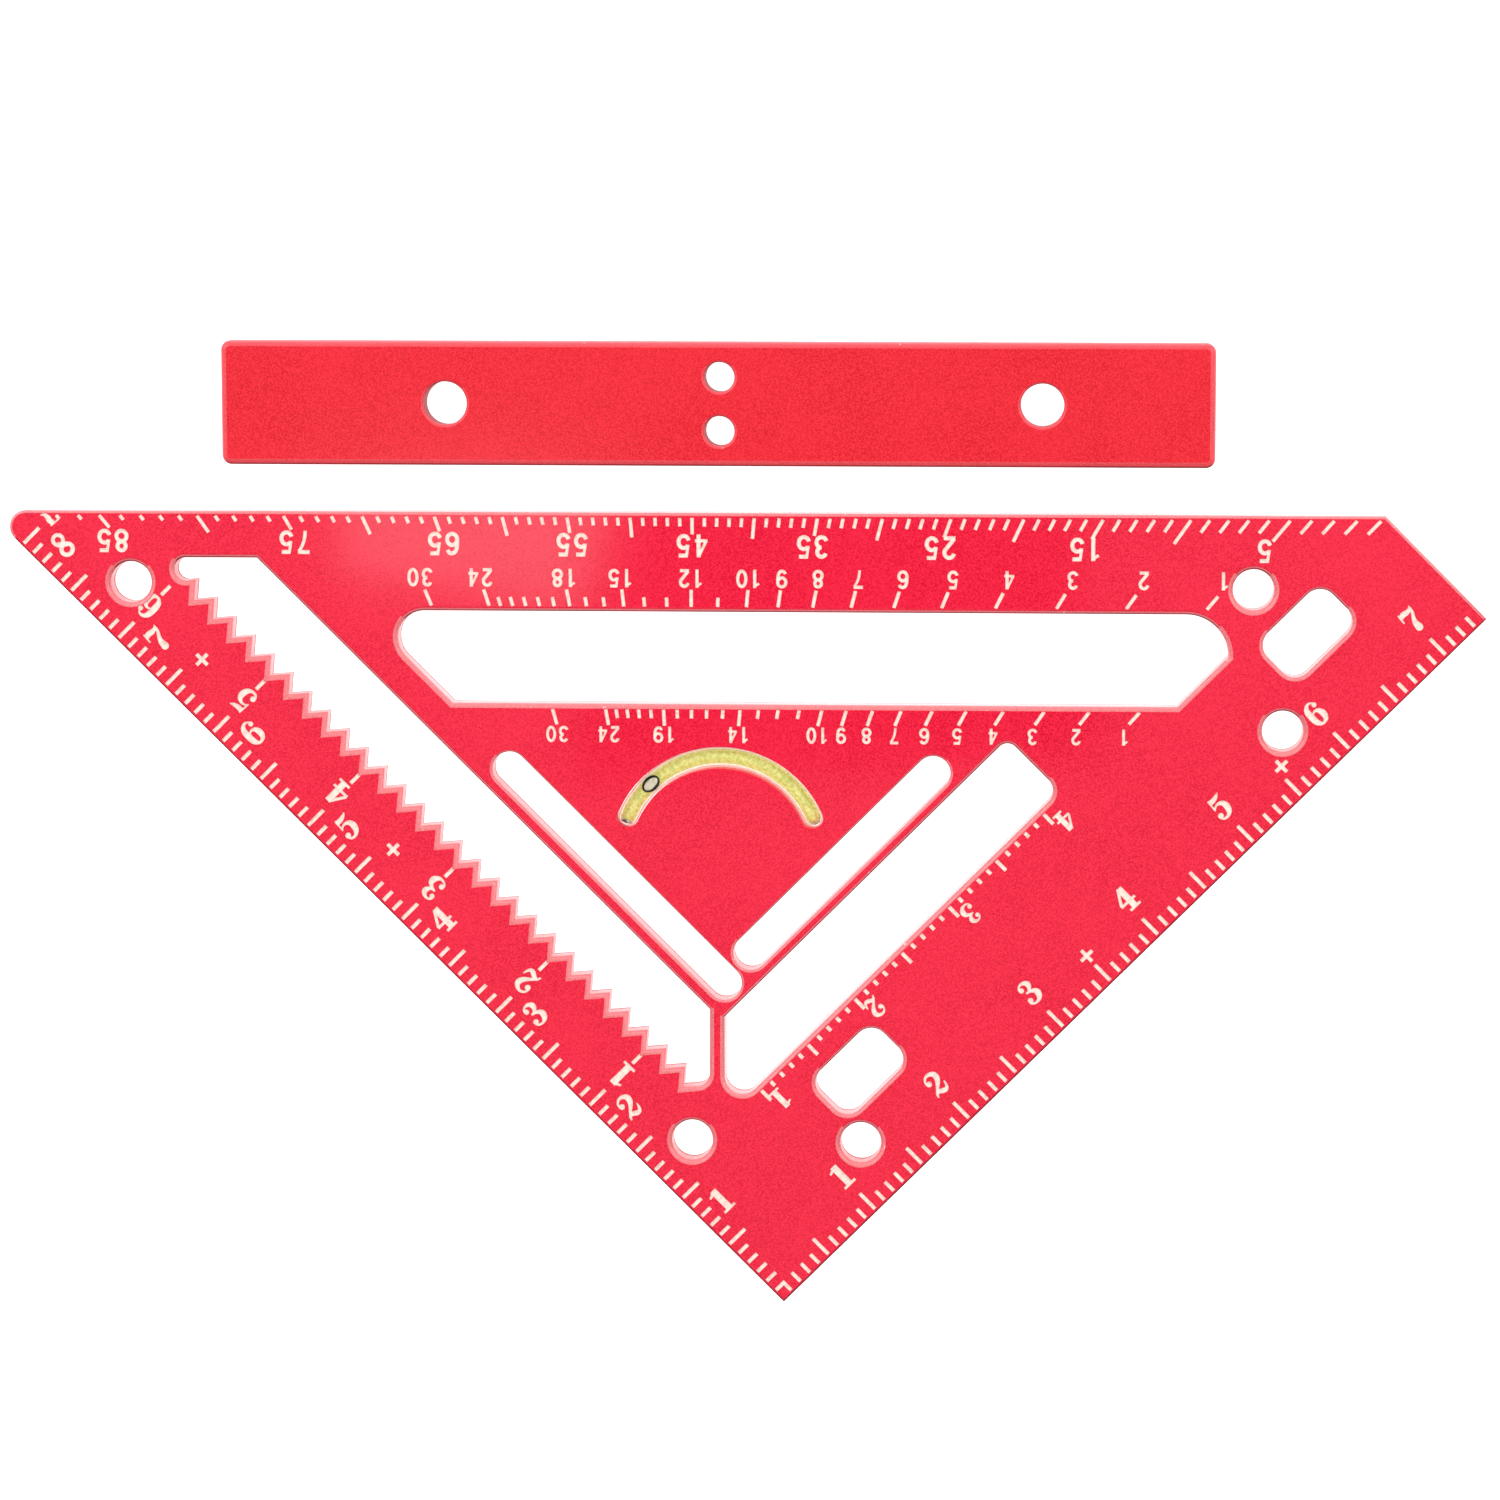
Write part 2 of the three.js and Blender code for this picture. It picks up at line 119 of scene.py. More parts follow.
def leg(along, across):
    return Vector(((along - across) * ROOT_HALF, (along + across) * ROOT_HALF))


def polar(centre, radius, angle):
    return centre + radius * Vector((math.cos(angle), math.sin(angle)))


# ---- Outlines ---------------------------------------------------------------------------------

ARC_FACET = math.radians(6)


def arc(centre, radius, start, sweep):
    steps = max(2, math.ceil(abs(sweep) / ARC_FACET))
    return [polar(centre, radius, start + sweep * step / steps) for step in range(steps + 1)]


def rounded(corners):
    """A closed outline through (point, radius) corners, each rounded by a tangent arc."""
    outline = []
    for index, (point, radius) in enumerate(corners):
        if radius == 0:
            outline.append(point)
            continue
        back = (corners[index - 1][0] - point).normalized()
        ahead = (corners[(index + 1) % len(corners)][0] - point).normalized()
        half_angle = math.acos(back.dot(ahead)) / 2
        centre = point + (back + ahead).normalized() * (radius / math.sin(half_angle))
        setback = radius / math.tan(half_angle)
        start = point + back * setback - centre
        end = point + ahead * setback - centre
        start_angle = math.atan2(start.y, start.x)
        sweep = math.remainder(math.atan2(end.y, end.x) - start_angle, math.tau)
        outline += arc(centre, radius, start_angle, sweep)
    return outline


def circle(centre, radius):
    return arc(centre, radius, 0, math.tau)[:-1]


def straight_slot(start, end, width):
    inset = (end - start).normalized() * (width / 2)
    heading = math.atan2(inset.y, inset.x)
    quarter = math.pi / 2
    return (arc(end - inset, width / 2, heading - quarter, math.pi)
            + arc(start + inset, width / 2, heading + quarter, math.pi))


def plate_outline():
    top = HYPOTENUSE_Y + HYPOTENUSE_EXTRA
    return rounded([
        (leg(0, 0), 0),
        (leg(RIGHT_LEG_LENGTH, 0), 0),
        (Vector((RIGHT_LEG_LENGTH / ROOT_HALF - top, top)), 0),
        (Vector((-top, top)), TIP_RADIUS),
    ])


def long_slot():
    left_along, left_radius = 36.85, 5.3
    right_x, right_across, right_radius = 84.6, 28.7, 8.2
    top, bottom = LONG_SLOT_TOP_Y, LONG_SLOT_BOTTOM_Y
    return rounded([
        (Vector((left_along / ROOT_HALF - bottom, bottom)), 0),
        (Vector((bottom - right_across / ROOT_HALF, bottom)), 0),
        (Vector((right_x, right_x + right_across / ROOT_HALF)), 0),
        (Vector((right_x, top)), right_radius),
        (Vector((left_along / ROOT_HALF - top, top)), left_radius),
    ])


def notch(index):
    return leg(NOTCH_VALLEY_ALONG, FIRST_NOTCH_ACROSS + index * NOTCH_PITCH)


def notch_tooth(index):
    across = FIRST_NOTCH_ACROSS + (index + 0.5) * NOTCH_PITCH
    return leg(NOTCH_VALLEY_ALONG + NOTCH_DEPTH, across)


def toothed_slot():
    """The notches run down the side nearest the left leg, into a rounded corner at each end."""
    top, along, post_x = 143.4, 30.3, -14.1
    end_radius, foot_radius = 2.3, 2.7
    last = notch(NOTCH_COUNT)
    corners = [
        (Vector((post_x, along / ROOT_HALF - post_x)), 0),
        (Vector((along / ROOT_HALF - top, top)), 0),
        (Vector((last.x, top)), end_radius),
        (last, end_radius),
    ]
    for index in reversed(range(NOTCH_COUNT)):
        corners += [(notch_tooth(index), 0), (notch(index), 0)]
    flank = notch_tooth(-1) - notch(0)
    foot_y = notch(0).y + flank.y * (post_x - notch(0).x) / flank.x
    corners.append((Vector((post_x, foot_y)), foot_radius))
    return rounded(corners)


def ruler_slot():
    low, high, end, post_x = RULER_SLOT_LOW_ACROSS, 47.4, 107.7, -11.55
    return rounded([
        (Vector((post_x, post_x + low / ROOT_HALF)), 3.6),
        (leg(end, low), 3.2),
        (leg(end, high), 2.3),
        (Vector((post_x, post_x + high / ROOT_HALF)), 0),
    ])


def thin_slots():
    width = 7.0
    return [
        straight_slot(leg(35.8, 48.4), leg(35.8, 113.5), width),
        straight_slot(leg(40, 52.5), leg(96.3, 52.5), width),
    ]


def windows():
    across, half_length, half_width, radius = 21.6, 8.75, 5.5, 3.6
    return [rounded([
        (leg(along - half_length, across - half_width), radius),
        (leg(along + half_length, across - half_width), radius),
        (leg(along + half_length, across + half_width), radius),
        (leg(along - half_length, across + half_width), radius),
    ]) for along in (42.15, 162.1)]


def plate_bolt_holes():
    bar_width = (bar_high.y - bar_low.y) / MM
    seat, inner = bar_width * 0.5, bar_width * 1.5
    centres = [
        leg(BAR_BOLT_FROM_RIGHT, seat),
        leg(BAR_BOLT_FROM_RIGHT + BAR_BOLT_SPACING, seat),
        leg(9.7, inner),
        leg(160.6, inner),
        leg(9.7, 186.2),
    ]
    return [circle(centre, BOLT_RADIUS) for centre in centres]


def vial_slot():
    half_width = VIAL_RADIUS + VIAL_PLAY
    right = math.pi / 2 - VIAL_HALF_SWEEP
    left = math.pi / 2 + VIAL_HALF_SWEEP
    right_end = polar(VIAL_CENTRE, VIAL_ARC_RADIUS, right)
    left_end = polar(VIAL_CENTRE, VIAL_ARC_RADIUS, left)
    return (arc(VIAL_CENTRE, VIAL_ARC_RADIUS + half_width, right, left - right)[:-1]
            + arc(left_end, half_width, left, math.pi)[:-1]
            + arc(VIAL_CENTRE, VIAL_ARC_RADIUS - half_width, left, right - left)[:-1]
            + arc(right_end, half_width, right - math.pi, math.pi)[:-1])


def offset(outline, distance):
    """Moves a closed anticlockwise outline outwards, along the bisector of each corner."""
    moved = []
    for index, point in enumerate(outline):
        before = (point - outline[index - 1]).normalized()
        after = (outline[(index + 1) % len(outline)] - point).normalized()
        bisector = Vector((before.y + after.y, -before.x - after.x)).normalized()
        stretch = 1 / bisector.dot(Vector((before.y, -before.x)))
        moved.append(point + bisector * (distance * stretch))
    return moved


# ---- Numerals and marks -----------------------------------------------------------------------
#
# A numeral is drawn by pen strokes on a square whose height is 1. Each stroke becomes a closed
# outline, and strokes may overlap.

CURVE_STEPS = 4


def spline(points):
    """Extra points on a smooth curve through the given ones, which may have any dimension."""
    padded = [2 * points[0] - points[1], *points, 2 * points[-1] - points[-2]]
    curve = []
    for a, b, c, d in zip(padded, padded[1:], padded[2:], padded[3:]):
        for step in range(CURVE_STEPS):
            t = step / CURVE_STEPS
            curve.append(0.5 * (2 * b + (c - a) * t + (2 * a - 5 * b + 4 * c - d) * t ** 2
                                + (3 * b - a - 3 * c + d) * t ** 3))
    return curve + [points[-1]]


def widened(path):
    """The outline of a stroke along (x, y, width) points, with square ends."""
    left, right = [], []
    for index, point in enumerate(path):
        heading = (path[min(index + 1, len(path) - 1)] - path[max(index - 1, 0)]).xy.normalized()
        side = Vector((-heading.y, heading.x)) * (point.z / 2)
        left.append(point.xy + side)
        right.append(point.xy - side)
    return right + left[::-1]


def pen(*points):
    return widened(spline([Vector(point) for point in points]))


def bar(start, end, width):
    return widened([Vector((*start, width)), Vector((*end, width))])


def ball(x, y, radius):
    return [polar(Vector((x, y)), radius, math.tau * step / 12) for step in range(12)]


def bow(centre, radii, start, end, width):
    """A stroke along part of an ellipse, between two angles in degrees."""
    steps = max(4, round(abs(end - start) / 15))
    path = []
    for step in range(steps + 1):
        angle = math.radians(start + (end - start) * step / steps)
        x = centre[0] + radii[0] * math.cos(angle)
        y = centre[1] + radii[1] * math.sin(angle)
        path.append(Vector((x, y, width)))
    return widened(path)


def ring(centre, radii, width):
    return [bow(centre, radii, 85, 275, width), bow(centre, radii, -95, 95, width)]


def turned(strokes, centre):
    return [[2 * Vector(centre) - point for point in stroke] for stroke in strokes]


SANS_WEIGHT = 0.18
SANS_SIX = [
    pen((0.50, 0.77, SANS_WEIGHT), (0.43, 0.89, SANS_WEIGHT), (0.30, 0.925, SANS_WEIGHT),
        (0.16, 0.84, SANS_WEIGHT), (0.09, 0.62, SANS_WEIGHT), (0.08, 0.34, SANS_WEIGHT)),
    *ring((0.30, 0.32), (0.22, 0.245), SANS_WEIGHT),
]
SANS_DIGITS = {
    "0": ring((0.30, 0.5), (0.22, 0.425), SANS_WEIGHT),
    "1": [
        bar((0.36, 0), (0.36, 1), SANS_WEIGHT),
        pen((0.35, 0.98, 0.10), (0.27, 0.85, 0.13), (0.12, 0.75, 0.14)),
    ],
    "2": [
        bow((0.29, 0.69), (0.21, 0.235), 168, -38, SANS_WEIGHT),
        bar((0.46, 0.57), (0.08, 0.10), SANS_WEIGHT),
        bar((0.03, 0.075), (0.53, 0.075), SANS_WEIGHT),
    ],
    "3": [
        bow((0.28, 0.72), (0.19, 0.205), 165, -90, SANS_WEIGHT),
        bow((0.28, 0.305), (0.22, 0.23), 90, -165, SANS_WEIGHT),
    ],
    "4": [
        bar((0.40, 0), (0.40, 1), SANS_WEIGHT),
        bar((0.01, 0.28), (0.56, 0.28), 0.14),
        bar((0.39, 0.95), (0.06, 0.27), 0.13),
    ],
    "5": [
        bar((0.11, 0.925), (0.50, 0.925), SANS_WEIGHT),
        bar((0.17, 0.99), (0.09, 0.45), 0.13),
        bow((0.28, 0.335), (0.225, 0.26), 145, -165, SANS_WEIGHT),
    ],
    "6": SANS_SIX,
    "7": [
        bar((0.04, 0.925), (0.55, 0.925), SANS_WEIGHT),
        pen((0.52, 0.90, 0.13), (0.38, 0.68, 0.14), (0.27, 0.38, 0.15), (0.22, 0, 0.16)),
    ],
    "8": [
        *ring((0.30, 0.735), (0.18, 0.19), SANS_WEIGHT),
        *ring((0.30, 0.30), (0.22, 0.225), SANS_WEIGHT),
    ],
    "9": turned(SANS_SIX, (0.30, 0.5)),
}

SERIF_DIGITS = {
    "1": [
        bar((0.30, 0.02), (0.30, 0.98), 0.27),
        bar((0.02, 0.055), (0.58, 0.055), 0.11),
        pen((0.00, 0.80, 0.08), (0.12, 0.84, 0.11), (0.28, 0.92, 0.14)),
    ],
    "2": [
        ball(0.13, 0.66, 0.115),
        pen((0.04, 0.68, 0.07), (0.09, 0.84, 0.09), (0.22, 0.94, 0.11), (0.38, 0.93, 0.15),
            (0.51, 0.83, 0.21), (0.53, 0.69, 0.23), (0.45, 0.53, 0.19), (0.28, 0.36, 0.13),
            (0.13, 0.21, 0.10), (0.03, 0.04, 0.08)),
        pen((0.03, 0.08, 0.05), (0.12, 0.19, 0.13), (0.24, 0.19, 0.17), (0.36, 0.12, 0.20),
            (0.48, 0.09, 0.17), (0.58, 0.18, 0.11), (0.64, 0.38, 0.06)),
    ],
    "3": [
        ball(0.13, 0.76, 0.105),
        pen((0.05, 0.77, 0.06), (0.10, 0.88, 0.08), (0.23, 0.945, 0.10), (0.38, 0.91, 0.16),
            (0.47, 0.79, 0.22), (0.43, 0.65, 0.17), (0.32, 0.565, 0.09), (0.18, 0.545, 0.08)),
        pen((0.20, 0.545, 0.07), (0.37, 0.51, 0.12), (0.51, 0.41, 0.20), (0.535, 0.27, 0.25),
            (0.45, 0.12, 0.19), (0.30, 0.05, 0.11), (0.13, 0.09, 0.09), (0.04, 0.20, 0.07)),
        ball(0.12, 0.25, 0.11),
    ],
    "4": [
        bar((0.46, 0.03), (0.46, 0.98), 0.25),
        bar((0.02, 0.36), (0.72, 0.36), 0.11),
        bar((0.42, 0.97), (0.05, 0.38), 0.12),
        bar((0.20, 0.055), (0.71, 0.055), 0.11),
    ],
    "5": [
        bar((0.14, 0.97), (0.11, 0.50), 0.07),
        pen((0.12, 0.86, 0.20), (0.30, 0.85, 0.19), (0.48, 0.89, 0.14), (0.63, 0.97, 0.04)),
        pen((0.11, 0.54, 0.05), (0.22, 0.62, 0.08), (0.36, 0.63, 0.12), (0.50, 0.54, 0.20),
            (0.54, 0.36, 0.25), (0.47, 0.16, 0.20), (0.32, 0.055, 0.12), (0.15, 0.07, 0.10),
            (0.05, 0.19, 0.07)),
        ball(0.12, 0.24, 0.115),
    ],
    "6": [
        pen((0.54, 0.84, 0.07), (0.41, 0.95, 0.09), (0.26, 0.93, 0.14), (0.14, 0.77, 0.22),
            (0.12, 0.49, 0.25), (0.14, 0.23, 0.22), (0.24, 0.08, 0.13), (0.36, 0.04, 0.09)),
        pen((0.24, 0.55, 0.07), (0.36, 0.60, 0.10), (0.49, 0.52, 0.18), (0.545, 0.32, 0.24),
            (0.48, 0.12, 0.18), (0.32, 0.045, 0.10)),
        ball(0.51, 0.79, 0.10),
    ],
    "7": [
        bar((0.05, 0.99), (0.02, 0.60), 0.07),
        pen((0.05, 0.82, 0.18), (0.20, 0.87, 0.22), (0.36, 0.84, 0.20), (0.52, 0.87, 0.12),
            (0.60, 0.98, 0.04)),
        pen((0.59, 0.94, 0.05), (0.53, 0.72, 0.12), (0.41, 0.52, 0.15), (0.34, 0.34, 0.22),
            (0.33, 0.14, 0.28), (0.33, 0.06, 0.24)),
        ball(0.33, 0.13, 0.15),
    ],
    "8": [
        *ring((0.31, 0.745), (0.19, 0.195), 0.15),
        *ring((0.31, 0.27), (0.22, 0.205), 0.17),
        bar((0.16, 0.64), (0.46, 0.40), 0.20),
    ],
}

SANS_ADVANCE = 0.76
SERIF_ADVANCE = 0.80
DIGIT_WIDTH = 0.60


def numeral(text, digits, centre, height, angle, advance):
    """The strokes of a number, centred on a point and turned anticlockwise by an angle."""
    turn = Matrix.Rotation(angle, 2)
    width = advance * (len(text) - 1) + DIGIT_WIDTH
    strokes = []
    for index, digit in enumerate(text):
        corner = Vector((index * advance - width / 2, -0.5))
        for stroke in digits[digit]:
            strokes.append([centre + turn @ ((point + corner) * height) for point in stroke])
    return strokes


def sans(text, centre, height, angle=math.pi):
    return numeral(str(text), SANS_DIGITS, centre, height, angle, SANS_ADVANCE)


def serif(text, centre, height, angle):
    return numeral(str(text), SERIF_DIGITS, centre, height, angle, SERIF_ADVANCE)


# From a bare edge to a tick, at the outside of the square and at its openings.
OUTER_TICK_START = OUTER_EDGE_RADIUS - COAT_THICKNESS + 2 * MARK_MARGIN
TICK_START = EDGE_RADIUS - COAT_THICKNESS + 2 * MARK_MARGIN
READ_ALONG = math.radians(45)
READ_ACROSS = math.radians(135)
READ_BACK_ALONG = math.radians(225)
SERIF_HEIGHT = 5.1
SMALL_SERIF_HEIGHT = 4.3


def leg_scale_marks():
    """Inch rulers along the two outer edges, with a tick every tenth of an inch."""
    marks = []
    tenth = INCH / 10
    short, long = 2.9, 4.7
    start = OUTER_TICK_START
    for index in range(1, 74):
        reach = long if index % 5 == 0 else short
        marks.append(bar(leg(index * tenth, start), leg(index * tenth, reach), TICK_WIDTH))
    for index in range(1, 82):
        # The long ticks of the left leg fall one place later than the right leg's.
        reach = long if index % 5 == 1 and index > 1 else short
        marks.append(bar(leg(start, index * tenth), leg(reach, index * tenth), TICK_WIDTH))
    for inch in range(1, 8):
        marks += serif(inch, leg(inch * INCH, 9.6), SERIF_HEIGHT, READ_ALONG)
    for inch in range(1, 9):
        marks += serif(inch, leg(5.5, inch * INCH - 2.9), SERIF_HEIGHT, READ_ALONG)
    return marks


def notch_scale_marks():
    """An inch mark and a numeral at every fifth notch."""
    marks = []
    for inch in range(1, 8):
        across = FIRST_NOTCH_ACROSS + (5 * inch - 3) * NOTCH_PITCH
        marks.append(bar(leg(12.1, across), leg(14.6, across), TICK_WIDTH))
        marks += serif(inch, leg(9.0, across), SERIF_HEIGHT, READ_ACROSS)
    return marks


def ruler_slot_marks():
    """A ruler along the lower side of its slot, read from the apex side."""
    marks = []
    tenth = INCH / 10
    start = RULER_SLOT_LOW_ACROSS - TICK_START
    for index in range(31):
        along = INCH + 0.7 + index * tenth
        end = 29.5 if index % 5 == 0 else 31.0
        marks.append(bar(leg(along, start), leg(along, end), TICK_WIDTH))
    for inch in range(1, 5):
        centre = leg(inch * (INCH + 0.3) + 1.9, 28.4)
        marks += serif(inch, centre, SMALL_SERIF_HEIGHT, READ_BACK_ALONG)
    return marks


def plus_marks():
    marks = []
    half = 1.5
    places = ((8.8, 166.2), (8.8, 114.8), (89.0, 7.0), (140.9, 7.0))
    for along, across in places:
        marks.append(bar(leg(along - half, across), leg(along + half, across), TICK_WIDTH))
        marks.append(bar(leg(along, across - half), leg(along, across + half), TICK_WIDTH))
    return marks


# The angle scales radiate from pivots near the place where the fence meets the left leg.
DEGREE_PIVOT = Vector((-17.4, 16.3))
RISE_PIVOT = Vector((-17.6, 18.7))


def ray(pivot, y, tilt):
    """Where a ray from a pivot, at an angle from +Y, meets a height, and its direction."""
    point = Vector((pivot.x + (y - pivot.y) * math.tan(tilt), y))
    return point, Vector((math.sin(tilt), math.cos(tilt)))


DEGREE_ROW_SLOPE = 0.007  # the degree scale isn't quite parallel to the hypotenuse
DEGREE_LABEL_NUDGE = 3  # fitted: the labels nearest the tip lie further towards it


def degree_scale_marks():
    marks = []
    for angle in range(1, 88):
        tilt = math.radians(45 - angle)
        start, heading = ray(DEGREE_PIVOT, HYPOTENUSE_Y - OUTER_TICK_START, tilt)
        drift = (start.x - DEGREE_PIVOT.x) * DEGREE_ROW_SLOPE
        depth = 2.1 + drift if angle % 5 else 3.6 + drift
        if angle % 10 == 0:
            depth += 0.7
        end = start - heading * ((depth - OUTER_TICK_START) / heading.y)
        marks.append(bar(start, end, FINE_TICK_WIDTH))
        if angle % 10 == 5:
            centre = ray(DEGREE_PIVOT, HYPOTENUSE_Y - 5.75 - 0.6 * drift, tilt)[0]
            centre.x -= DEGREE_LABEL_NUDGE * max(0, -drift - 0.3)
            marks += sans(angle, centre, 4.4)
    return marks


def rise_scale_marks():
    """Two rows of roof rises, over and under the long slot."""
    marks = []
    upper_labels = (30, 24, 18, 15, 12, 10, 9, 8, 7, 6, 5, 4, 3, 2, 1)
    for rise in (30, *range(24, 0, -1)):
        tilt = math.radians(45) - math.atan(rise / 12)
        start, heading = ray(RISE_PIVOT, LONG_SLOT_TOP_Y + TICK_START, tilt)
        length = 3.3 if rise in upper_labels else 1.8
        marks.append(bar(start, start + heading * length, FINE_TICK_WIDTH))
        if rise in upper_labels:
            centre = start + Vector((min(5.1 * math.tan(tilt), 3.3), 5.4))
            marks += sans(rise, centre, 3.5)
    lower_labels = (30, 24, 19, 14, 10, 9, 8, 7, 6, 5, 4, 3, 2, 1)
    for rise in (30, *range(24, 0, -1)):
        tilt = math.radians(45) - math.atan(rise / 17)
        start, heading = ray(RISE_PIVOT, LONG_SLOT_BOTTOM_Y - TICK_START, tilt)
        length = 3.1 if rise in lower_labels else 1.7
        marks.append(bar(start, start - heading * length, FINE_TICK_WIDTH))
        if rise in lower_labels:
            centre = start - Vector((3.2 * math.tan(tilt), 4.8))
            marks += sans(rise, centre, 3.1)
    return marks


# ---- Meshes -----------------------------------------------------------------------------------

# Material slots of a coated plate: the second holds painted highlights, the third painted shade,
# the fourth walls painted pale as if lit on the square and dark as if shaded on the fence bar, the
# fifth a painted shadow at a wall's foot, and the sixth a shaded copy of the wall coat.
FACE, HIGHLIGHT, SHADE, WALL, SHADOWED_FOOT, SHADED_SIDE, PAINT = range(7)  # material slots of a coated plate


class MeshDraft:
    """Collects corners and faces, and turns them into one Blender object."""

    def __init__(self):
        self.corners = []
        self.faces = []
        self.slots = []
        self.smooth = []

    def add_corner(self, place):
        self.corners.append(place)
        return len(self.corners) - 1

    def add_face(self, indices, slot, smooth=False):
        self.faces.append(indices)
        self.slots.append(slot)
        self.smooth.append(smooth)

    def build(self, name, materials):
        mesh = bpy.data.meshes.new(name)
        mesh.from_pydata(self.corners, [], self.faces)
        for material in materials:
            mesh.materials.append(material)
        mesh.polygons.foreach_set("material_index", self.slots)
        mesh.polygons.foreach_set("use_smooth", self.smooth)
        mesh.validate()
        mesh.update()
        piece = bpy.data.objects.new(name, mesh)
        bpy.context.scene.collection.objects.link(piece)
        return piece


def cut_face(outer, openings, marks):
    """Splits a flat face into triangles, and says which of them belong to a mark.

    A mark stops just short of the edge of the face, so the keep-in loops repeat every edge a
    little further in. Returns the points, the plain triangles, the mark triangles, and for each
    loop the numbers of its points.
    """
    keep_in = [offset(outer, -MARK_MARGIN), *(offset(loop, MARK_MARGIN) for loop in openings)]
    loops = [outer, *openings, *(keep_in if marks else []), *marks]
    points, rings = [], []
    for loop in loops:
        rings.append(list(range(len(points), len(points) + len(loop))))
        points += loop
    corners, _, faces, sources, _, owners = delaunay_2d_cdt(points, [], rings, 0, 1e-5)
    opening_ids = set(range(1, len(openings) + 1))
    first_keep_in = len(openings) + 1
    keep_out_ids = {first_keep_in + number for number in opening_ids}
    first_mark = first_keep_in + len(keep_in)
    plain, painted = [], []
    for face, owner_list in zip(faces, owners):
        owner = set(owner_list)
        if 0 not in owner or owner & opening_ids:
            continue
        is_mark = (first_keep_in in owner and not owner & keep_out_ids
                   and any(number >= first_mark for number in owner))
        (painted if is_mark and marks else plain).append(face)
    output_of = {}
    for output, inputs in enumerate(sources):
        for source in inputs:
            output_of[source] = output
    edge_rings = [[output_of[source] for source in ring] for ring in rings[:first_keep_in]]
    return corners, plain, painted, edge_rings


EDGE_ROWS = 4
# How high the darker foot of a wall reaches: painted shadow where the wall meets the table.
FOOT_HEIGHT = 1.3

# The rows of a rounded edge, from the face to the wall. They are painted light for a light beyond
# the hypotenuse, fixed to the object: pale rows are painted highlights and dark rows painted
# shade.
# The first three are for edges that face away from the light, TURNING_RIM for edges that face
# partly away, and PALE_RIM for all others.
LEG_RIM = (FACE, SHADE, SHADE, SHADE)
OPENING_RIM = (FACE, HIGHLIGHT, SHADE, SHADE)
DARK_RIM = (HIGHLIGHT, HIGHLIGHT, SHADE, SHADE)
TURNING_RIM = (HIGHLIGHT, HIGHLIGHT, HIGHLIGHT, SHADE)
PALE_RIM = (HIGHLIGHT,) * EDGE_ROWS


def side_profile(radius, steps=EDGE_ROWS):
    """How far in from the wall, and how far below the face, each line of a rounded edge lies."""
    angles = [math.pi / 2 * step / steps for step in range(steps + 1)]
    return [(radius * (1 - math.sin(angle)), radius * (1 - math.cos(angle))) for angle in angles]


# How far towards the hypotenuse a side faces: -1 is straight away from it, and 1 towards it.
AWAY_BELOW = -0.7
TURNING_BELOW = -0.4
TOWARDS_ABOVE = 0.6


def edge_slots(start, end, sign, away_rim, all_red):
    """The material of each row of a plate's side, from its top face to its underside: painted
    light and shade on rims and walls, chosen by which way the side faces the light beyond the
    hypotenuse.
    """
    if all_red:
        return [FACE] * (2 * EDGE_ROWS + 2)
    facing_y = sign * (end - start).normalized().x
    if facing_y < AWAY_BELOW:
        rim = away_rim
    elif facing_y < TURNING_BELOW:
        rim = TURNING_RIM
    else:
        rim = PALE_RIM
    # Walls of openings, and outer walls that face the light, take the wall coat over a darker
    # painted shadow at the foot: on the square the wall coat is painted pale as if lit, on the
    # fence bar dark as if shaded. Other outer walls take a shaded copy of the wall coat.
    walls = [WALL, SHADOWED_FOOT] if sign > 0 or facing_y > TOWARDS_ABOVE else [SHADED_SIDE, SHADED_SIDE]
    return [*rim, *walls, *rim[::-1]]


